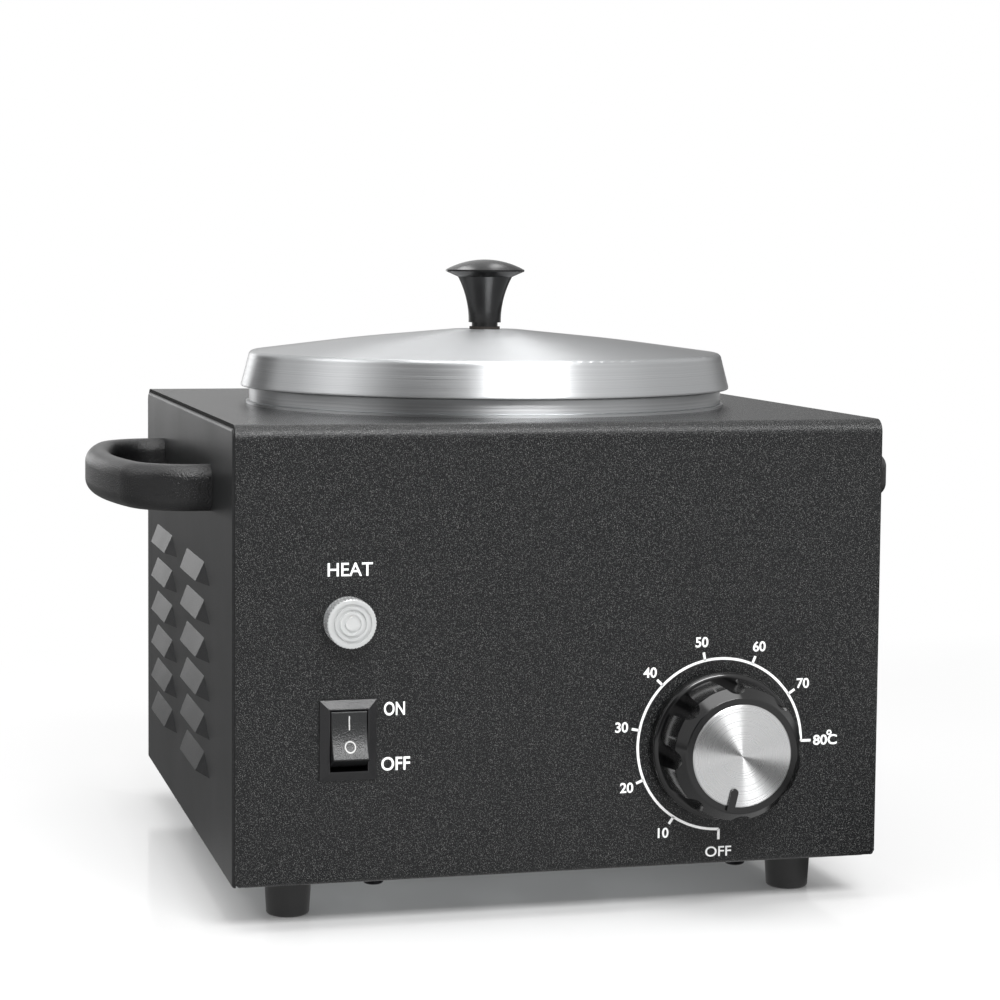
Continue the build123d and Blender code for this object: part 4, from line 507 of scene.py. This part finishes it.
def film_from(bm, name, thickness):
    """Gives a flat outline, drawn at z = 0, its thickness, and makes a mesh of it."""
    made = bmesh.ops.extrude_face_region(bm, geom=bm.faces[:])
    moved = [g for g in made["geom"] if isinstance(g, bmesh.types.BMVert)]
    bmesh.ops.translate(bm, verts=moved, vec=(0, 0, thickness))
    bmesh.ops.recalc_face_normals(bm, faces=bm.faces[:])
    mesh = bpy.data.meshes.new(name)
    bm.to_mesh(mesh)
    bm.free()
    return mesh


# %% [markdown]
# ## The scale
# The scale runs clockwise from OFF, straight below the dial, over 270 degrees to its top value on the right.
# Nine ticks stand on its outer side, and the first and the last are longer. Spinning one short edge gives
# the ring an even width, and each tick is a flat bar turned to its angle.

# %% Scale ring and ticks
RING_R, RING_W = 23.2 * MM, 0.7 * MM
RING_STEPS = 180
SCALE_FROM, SCALE_STEP, SCALE_TICKS = 270.0, -33.75, 9
TICK_L, END_TICK_L = 1.9 * MM, 2.5 * MM


def bar(bm, x0, x1, half, angle, at):
    """A flat bar from x0 to x1, turned by angle degrees about the point at."""
    made = bmesh.ops.create_grid(bm, x_segments=1, y_segments=1, size=0.5)["verts"]
    bmesh.ops.scale(bm, verts=made, vec=(x1 - x0, 2 * half, 1))
    bmesh.ops.translate(bm, verts=made, vec=((x0 + x1) / 2, 0, 0))
    spin = Matrix.Translation(at) @ Matrix.Rotation(math.radians(angle), 4, "Z")
    bmesh.ops.transform(bm, verts=made, matrix=spin)


bm = bmesh.new()
start = [bm.verts.new((0, -RING_R + s * RING_W / 2, 0)) for s in (-1, 1)]
line = bm.edges.new(start)
bmesh.ops.spin(
    bm,
    geom=[*start, line],
    cent=(0, 0, 0),
    axis=(0, 0, 1),
    angle=math.radians(SCALE_STEP * (SCALE_TICKS - 1)),
    steps=RING_STEPS,
    use_merge=False,
)
bmesh.ops.translate(bm, verts=bm.verts[:], vec=(dial_x, dial_z, 0))
for k in range(SCALE_TICKS):
    length = END_TICK_L if k in (0, SCALE_TICKS - 1) else TICK_L
    turned = SCALE_FROM + k * SCALE_STEP
    bar(bm, RING_R, RING_R + RING_W / 2 + length, RING_W / 2, turned, (dial_x, dial_z, 0))
ring_mesh = film_from(bm, "dial_scale", INK_PROUD)
ring_mesh.transform(front_face)
finished_piece("dial_scale", ring_mesh, ink, "case")

# %% [markdown]
# ## Words and numbers
# Each number is centred on its tick's line, a little way out. A word is given its place on the front face,
# its printed height and width, and how much bolder it is than the plain letters. Blender's own letters are
# then stretched to that height and width, so that they take up the place of the printed ones.


# %% Words and numbers
def lettering(name, words, x, z, cap_height, width=None, left=False, bold=0.022):
    """Printed word, centred on (x, z) of the front face unless left is true, at its real height and width."""
    curve = bpy.data.curves.new(name, "FONT")
    curve.body = words
    curve.resolution_u = 6
    curve.extrude = 0.5  # any depth does, since the letters are scaled to the ink's
    curve.offset = bold
    holder = bpy.data.objects.new(name, curve)
    bpy.context.scene.collection.objects.link(holder)
    bpy.context.view_layer.update()
    mesh = bpy.data.meshes.new_from_object(holder)
    bpy.data.objects.remove(holder)
    corners = [[f(v.co[i] for v in mesh.vertices) for f in (min, max)] for i in range(3)]
    size = [high - low for low, high in corners]
    tall = cap_height / size[1]
    wide = width / size[0] if width else tall
    anchor = corners[0][0] if left else sum(corners[0]) / 2
    place = (
        front_face
        @ Matrix.Translation((x, z, INK_PROUD / 2))
        @ Matrix.Diagonal((wide, tall, INK_PROUD / size[2], 1))
        @ Matrix.Translation((-anchor, -sum(corners[1]) / 2, 0))
    )
    mesh.transform(place)
    finished_piece(name, mesh, ink, "case")


NUMBER_R, NUMBER_H = 28.3 * MM, 2.8 * MM
LAST_RIGHT, OFF_DOWN = 26.8 * MM, 29.3 * MM  # from the dial's middle
WORDS_MM = (  # name, word, place on the front face, printed height and width, how bold
    ("word_heat", "HEAT", -58.5, 94.5, 3.5, 11.9, 0.01),
    ("word_on", "ON", -46.6, 57.8, 3.6, 5.6, 0.016),
    ("word_off", "OFF", -46.2, 43.3, 3.6, 7.7, 0.016),
)
for k in range(1, SCALE_TICKS - 1):
    angle = math.radians(SCALE_FROM + k * SCALE_STEP)
    spot = (dial_x + NUMBER_R * math.cos(angle), dial_z + NUMBER_R * math.sin(angle))
    lettering(f"scale_{10 * k}", str(10 * k), *spot, NUMBER_H)
lettering("scale_80", "80C", dial_x + LAST_RIGHT, dial_z, NUMBER_H, 6.9 * MM, left=True)
lettering("scale_off", "OFF", dial_x, dial_z - OFF_DOWN, NUMBER_H, 7.4 * MM, bold=0.01)
for name, word, x, z, tall, wide, bold in WORDS_MM:
    lettering(name, word, x * MM, z * MM, tall * MM, wide * MM, bold=bold)

# %% [markdown]
# ## The degree sign
# The sign is a small ring between the last number and its C. It is spun like the scale's line, so that its
# size and its width are set by themselves. The same function draws the circle on the rocker.

# %% Degree sign
DEGREE_R, DEGREE_W = 0.75 * MM, 0.42 * MM
DEGREE_RIGHT, DEGREE_UP = 31.4 * MM, 1.9 * MM  # from the dial's middle


def flat_ring(radius, width, steps, at):
    """A flat ring of the outer radius and the width, round the point at."""
    ring = bmesh.new()
    start = [ring.verts.new((radius - s * width, 0, 0)) for s in (0, 1)]
    line = ring.edges.new(start)
    bmesh.ops.spin(
        ring,
        geom=[*start, line],
        cent=(0, 0, 0),
        axis=(0, 0, 1),
        angle=math.tau,
        steps=steps,
        use_merge=True,
    )
    bmesh.ops.translate(ring, verts=ring.verts[:], vec=at)
    return ring


bm = flat_ring(DEGREE_R, DEGREE_W, 32, (dial_x + DEGREE_RIGHT, dial_z + DEGREE_UP, 0))
degree_mesh = film_from(bm, "scale_degree", INK_PROUD)
degree_mesh.transform(front_face)
finished_piece("scale_degree", degree_mesh, ink, "case")

# %% [markdown]
# ## Marks on the rocker
# The rocker carries a line for on and a circle for off, in pale grey. Its face is hollow and tipped, so the
# marks are drawn flat in front of it and each point is then sent straight back until it meets the face.

# %% Rocker marks
MARK_W = 0.34 * MM
LINE_HALF, LINE_UP = 1.85 * MM, 4.7 * MM
CIRCLE_R, CIRCLE_UP = 1.5 * MM, -1.3 * MM
rocker_mesh = bmesh.new()
rocker_mesh.from_mesh(nodes["switch_rocker"].data)
rocker_tree = BVHTree.FromBMesh(rocker_mesh)
switch_middle = middle("switch_housing")
moulded_ink = moulded("pad_ink", "#b9b9b8", "#c6c6c5", 0.5, 0.5, 0.004)


def laid_on_rocker(bm, name):
    """Lays a flat outline on the rocker's face, where it moves with the rocker."""
    mesh = film_from(bm, name, INK_PROUD)
    mesh.transform(front_face)
    for vertex in mesh.vertices:
        off_face = face_y - vertex.co.y
        before = Vector((vertex.co.x, cad_low.y, vertex.co.z))
        hit = rocker_tree.ray_cast(before, Vector((0, 1, 0)))[0]
        vertex.co.y = hit.y - off_face
    finished_piece(name, mesh, moulded_ink, "rocker")


bm = bmesh.new()
bar(bm, -LINE_HALF, LINE_HALF, MARK_W / 2, 90.0, (switch_middle.x, switch_middle.z + LINE_UP, 0))
bmesh.ops.subdivide_edges(bm, edges=bm.edges[:], cuts=5, use_grid_fill=True)
laid_on_rocker(bm, "mark_line")
bm = flat_ring(CIRCLE_R, MARK_W, 48, (switch_middle.x, switch_middle.z + CIRCLE_UP, 0))
laid_on_rocker(bm, "mark_circle")
rocker_mesh.free()

# %% [markdown]
# ## The floor
# The set is a sheet of glossy pale acrylic. It is lit like any surface, so it keeps the shadow and the faint
# mirror image. A little way off it fades to plain white, which only the camera sees: a glow is mixed in by
# the distance from the case.

# %% Floor
FLOOR_R = 6.0
WHITE = colour("#ffffff")
floor_bm = bmesh.new()
bmesh.ops.create_circle(floor_bm, cap_ends=True, segments=96, radius=FLOOR_R)
floor_mesh = bpy.data.meshes.new("floor")
floor_bm.to_mesh(floor_mesh)
floor_bm.free()
floor = bpy.data.objects.new("floor", floor_mesh)
bpy.context.scene.collection.objects.link(floor)
acrylic, tree, bsdf = new_material("floor_acrylic", Base_Color=colour("#f4f4f4"), Roughness=0.1, IOR=1.49)
place = add(tree, "ShaderNodeTexCoord").outputs["Object"]
side = add(tree, "ShaderNodeVectorMath", {0: place}, operation="ABSOLUTE").outputs["Vector"]
side = add(tree, "ShaderNodeSeparateXYZ", {"Vector": side}).outputs
far = add(tree, "ShaderNodeMath", {0: side["X"], 1: side["Y"]}, operation="MAXIMUM").outputs[0]
edge = add(
    tree,
    "ShaderNodeMapRange",
    {"Value": far, "From Min": 0.078, "From Max": 0.105, "To Min": 0.06, "To Max": 0.5},
).outputs["Result"]
beyond = add(
    tree,
    "ShaderNodeMapRange",
    {"Value": far, "From Min": 0.1, "From Max": 0.36, "To Min": 0.0, "To Max": 0.5},
).outputs["Result"]
fade = add(tree, "ShaderNodeMath", {0: edge, 1: beyond}, operation="ADD").outputs[0]
rays = add(tree, "ShaderNodeLightPath").outputs
seen = add(tree, "ShaderNodeMath", {0: fade, 1: rays["Is Camera Ray"]}, operation="MULTIPLY").outputs[0]
glow = add(tree, "ShaderNodeEmission", {"Color": WHITE, "Strength": 1.0}).outputs[0]
lit_floor = add(tree, "ShaderNodeMixShader", {0: seen, 1: bsdf.outputs["BSDF"], 2: glow}).outputs[0]
print("floor", len(floor_mesh.polygons), "face, lit and fading to white")

# %% [markdown]
# ## What the finishes mirror of the floor
# A real studio is dressed for what shiny parts mirror. Here the mirrored floor is pale in front of the case,
# dim round it and behind it, dimmer to the right, and bright again far behind. A black card also lies on it,
# with two wings like a bow tie, in front of the case on the right. It gives the turned dial cap its dark
# wedge. A mix by the kind of ray shows all this to mirrors alone, so the floor itself stays plain.

# %% Floor in mirrors
FRONT_LEVEL, BACK_LEVEL, FAR_LEVEL, CARD_LEVEL = 0.95, 0.22, 1.1, 0.08
CARD_TIP, CARD_WAY = (0.123, -0.307, 0.0), (0.156, 0.988, 0.0)
CARD_END, CARD_GONE = 0.7, 1.0  # from the card's tip
spot = add(tree, "ShaderNodeSeparateXYZ", {"Vector": place}).outputs
near = add(
    tree,
    "ShaderNodeMapRange",
    {"Value": spot["Y"], "From Min": -0.25, "From Max": 0.05, "To Min": FRONT_LEVEL, "To Max": BACK_LEVEL},
).outputs["Result"]
to_right = add(
    tree,
    "ShaderNodeMapRange",
    {"Value": spot["X"], "From Min": 0.25, "From Max": 0.45, "To Min": 1.0, "To Max": 0.55},
).outputs["Result"]
from_tip = add(tree, "ShaderNodeVectorMath", {0: place, 1: CARD_TIP}, operation="SUBTRACT").outputs[0]
reach = add(tree, "ShaderNodeVectorMath", {0: from_tip}, operation="LENGTH").outputs["Value"]
off_card = add(
    tree, "ShaderNodeMapRange", {"Value": reach, "From Min": CARD_END, "From Max": CARD_GONE}
).outputs["Result"]
card_aim = add(tree, "ShaderNodeVectorMath", {0: from_tip}, operation="NORMALIZE").outputs[0]
along = add(tree, "ShaderNodeVectorMath", {0: card_aim, 1: CARD_WAY}, operation="DOT_PRODUCT")
along = add(tree, "ShaderNodeMath", {0: along.outputs["Value"]}, operation="ABSOLUTE").outputs[0]
card = add(
    tree,
    "ShaderNodeMapRange",
    {"Value": along, "From Min": 0.94, "From Max": 0.955, "To Min": 1.0, "To Max": CARD_LEVEL},
).outputs["Result"]
near = add(tree, "ShaderNodeMath", {0: near, 1: to_right}, operation="MULTIPLY").outputs[0]
card = add(tree, "ShaderNodeMath", {0: card, 1: off_card}, operation="MAXIMUM").outputs[0]
near = add(tree, "ShaderNodeMath", {0: near, 1: card}, operation="MULTIPLY").outputs[0]
distant = add(
    tree,
    "ShaderNodeMapRange",
    {"Value": spot["Y"], "From Min": 1.2, "From Max": 3.0, "To Min": 0.0, "To Max": FAR_LEVEL},
).outputs["Result"]
level = add(tree, "ShaderNodeMath", {0: near, 1: distant}, operation="ADD").outputs[0]
dim = add(tree, "ShaderNodeEmission", {"Color": WHITE, "Strength": level}).outputs[0]
by_ray = add(tree, "ShaderNodeMixShader", {0: rays["Is Glossy Ray"], 1: lit_floor, 2: dim}).outputs[0]
tree.links.new(by_ray, tree.nodes["Material Output"].inputs["Surface"])
floor_mesh.materials.append(acrylic)
print("floor card from", CARD_TIP, "along", CARD_WAY)

# %% [markdown]
# ## The surround
# The surround is plain white to the camera, and the finishes mirror a studio in it. Its far side, behind
# the case, is darker along the horizon and to the right. A black card and a pale one hang there on the left
# and draw the louvres. All of it is a shader on the world, worked out from each ray's direction, so that
# nothing hangs in view.

# %% Surround
HORIZON_LEVEL, HIGH_LEVEL, RIGHT_SHARE = 0.25, 0.8, 0.35
DARK_CARD, DARK_LEVEL = (-0.55, 0.834, 0.04), 0.06
PALE_CARD, PALE_LEVEL = (-0.19, 0.98, 0.04), 1.8
world = bpy.data.worlds.new("studio")
bpy.context.scene.world = world
world.use_nodes = True
sky = world.node_tree
direction = add(sky, "ShaderNodeTexCoord").outputs["Generated"]
aim = add(sky, "ShaderNodeSeparateXYZ", {"Vector": direction}).outputs
height = add(
    sky,
    "ShaderNodeMapRange",
    {"Value": aim["Z"], "From Min": 0.0, "From Max": 0.18, "To Min": HORIZON_LEVEL, "To Max": HIGH_LEVEL},
    interpolation_type="SMOOTHSTEP",
).outputs["Result"]
right = add(
    sky,
    "ShaderNodeMapRange",
    {"Value": aim["X"], "From Min": 0.1, "From Max": 0.5, "To Min": 1.0, "To Max": RIGHT_SHARE},
    interpolation_type="SMOOTHSTEP",
).outputs["Result"]
well_back = add(
    sky,
    "ShaderNodeMapRange",
    {"Value": aim["Y"], "From Min": 0.5, "From Max": 0.8},
    interpolation_type="SMOOTHSTEP",
).outputs["Result"]
right = add(sky, "ShaderNodeMix", {"Factor": well_back, "A": 1.0, "B": right}).outputs["Result"]
dark_near = add(sky, "ShaderNodeVectorMath", {0: direction, 1: DARK_CARD}, operation="DOT_PRODUCT")
dark_card = add(
    sky,
    "ShaderNodeMapRange",
    {
        "Value": dark_near.outputs["Value"],
        "From Min": 0.955,
        "From Max": 0.975,
        "To Min": 1.0,
        "To Max": DARK_LEVEL,
    },
).outputs["Result"]
behind = add(sky, "ShaderNodeMath", {0: height, 1: right}, operation="MULTIPLY").outputs[0]
behind = add(sky, "ShaderNodeMath", {0: behind, 1: dark_card}, operation="MULTIPLY").outputs[0]
pale_near = add(sky, "ShaderNodeVectorMath", {0: direction, 1: PALE_CARD}, operation="DOT_PRODUCT")
pale_card = add(
    sky,
    "ShaderNodeMapRange",
    {
        "Value": pale_near.outputs["Value"],
        "From Min": 0.985,
        "From Max": 0.995,
        "To Min": 0.0,
        "To Max": PALE_LEVEL,
    },
).outputs["Result"]
behind = add(sky, "ShaderNodeMath", {0: behind, 1: pale_card}, operation="ADD").outputs[0]
print("behind: level", HORIZON_LEVEL, "to", HIGH_LEVEL)

# %% [markdown]
# ## The near side
# In front of the case the mirrored studio is pale and gets brighter upward. A black flag stands in it and
# carries on the wedge that the card on the floor gives the dial cap.

# %% Front of the surround
FRONT_LOW, FRONT_HIGH = 0.7, 1.05
FLAG_FROM, FLAG_WAY, FLAG_LEVEL = (0.349, 0.0, -0.196), (-0.883, 0.0, 0.469), 0.05
front_glow = add(
    sky,
    "ShaderNodeMapRange",
    {"Value": aim["Z"], "From Min": -0.1, "From Max": 0.3, "To Min": FRONT_LOW, "To Max": FRONT_HIGH},
    interpolation_type="SMOOTHSTEP",
).outputs["Result"]
flag_aim = add(sky, "ShaderNodeVectorMath", {0: direction, 1: FLAG_FROM}, operation="SUBTRACT").outputs[0]
flag_aim = add(
    sky, "ShaderNodeVectorMath", {0: flag_aim, 1: (1.0, 0.0, 1.0)}, operation="MULTIPLY"
).outputs[0]
flag_aim = add(sky, "ShaderNodeVectorMath", {0: flag_aim}, operation="NORMALIZE").outputs[0]
flag_near = add(sky, "ShaderNodeVectorMath", {0: flag_aim, 1: FLAG_WAY}, operation="DOT_PRODUCT")
flag = add(
    sky,
    "ShaderNodeMapRange",
    {
        "Value": flag_near.outputs["Value"],
        "From Min": 0.945,
        "From Max": 0.96,
        "To Min": 1.0,
        "To Max": FLAG_LEVEL,
    },
).outputs["Result"]
front_glow = add(sky, "ShaderNodeMath", {0: front_glow, 1: flag}, operation="MULTIPLY").outputs[0]
in_front = add(
    sky,
    "ShaderNodeMapRange",
    {"Value": aim["Y"], "From Min": -0.2, "From Max": -0.6},
    interpolation_type="SMOOTHSTEP",
).outputs["Result"]
studio = add(sky, "ShaderNodeMix", {"Factor": in_front, "A": behind, "B": front_glow}).outputs["Result"]
print("in front: level", FRONT_LOW, "to", FRONT_HIGH)

# %% [markdown]
# ## What each ray sees
# The camera, and light that comes through the pilot lens, see plain white. Mirrors see the studio, and
# everything else is lit by a weaker white, so that the soft boxes shape the case.

# %% What each ray sees
FILL_LEVEL = 0.55
rays = add(sky, "ShaderNodeLightPath").outputs
clear = add(
    sky,
    "ShaderNodeMath",
    {0: rays["Is Camera Ray"], 1: rays["Is Transmission Ray"]},
    operation="MAXIMUM",
).outputs[0]
fill = add(sky, "ShaderNodeBackground", {"Color": WHITE, "Strength": FILL_LEVEL}).outputs[0]
mirrored = add(sky, "ShaderNodeBackground", {"Color": WHITE, "Strength": studio}).outputs[0]
backdrop = add(sky, "ShaderNodeBackground", {"Color": WHITE, "Strength": 1.0}).outputs[0]
lit = add(sky, "ShaderNodeMixShader", {0: rays["Is Glossy Ray"], 1: fill, 2: mirrored}).outputs[0]
surround = add(sky, "ShaderNodeMixShader", {0: clear, 1: lit, 2: backdrop}).outputs[0]
sky.links.new(surround, sky.nodes["World Output"].inputs["Surface"])
print("surround", len(sky.nodes), "nodes")

# %% [markdown]
# ## Lamps
# Three soft boxes light the machine from above, from the front and from the left, and two narrow strips
# behind it draw streaks on the lid. Each is an area lamp, turned to face the case.

# %% Lamps
AIM_AT = Vector((0, 0, 0.08))  # near the middle of the machine
LAMPS = (  # name, place, width and height, watts
    ("top_soft_box", (-0.1, -0.15, 1.6), (1.0, 1.0), 11.0),
    ("front_soft_box", (0.12, -0.95, 0.95), (0.62, 0.4), 15.0),
    ("left_soft_box", (-1.1, 0.2, 1.1), (0.7, 0.7), 3.5),
    ("back_left_strip", (-0.02, 0.95, 1.1), (0.12, 0.4), 0.6),
    ("back_right_strip", (0.38, 0.9, 1.1), (0.12, 0.4), 0.45),
)
for name, place, size, watts in LAMPS:
    lamp = bpy.data.lights.new(name, "AREA")
    lamp.shape = "RECTANGLE"
    lamp.size, lamp.size_y = size
    lamp.energy = watts
    holder = bpy.data.objects.new(name, lamp)
    holder.location = place
    aim = AIM_AT - Vector(place)
    holder.rotation_euler = aim.to_track_quat("-Z", "Y").to_euler()
    bpy.context.scene.collection.objects.link(holder)
    print(name, watts, "W at", round(aim.length, 2), "m")

# %% [markdown]
# ## Output
# The view is left on the plain Standard transform, so that a colour renders as it is written.

# %% View and the end
bpy.context.scene.view_settings.view_transform = "Standard"
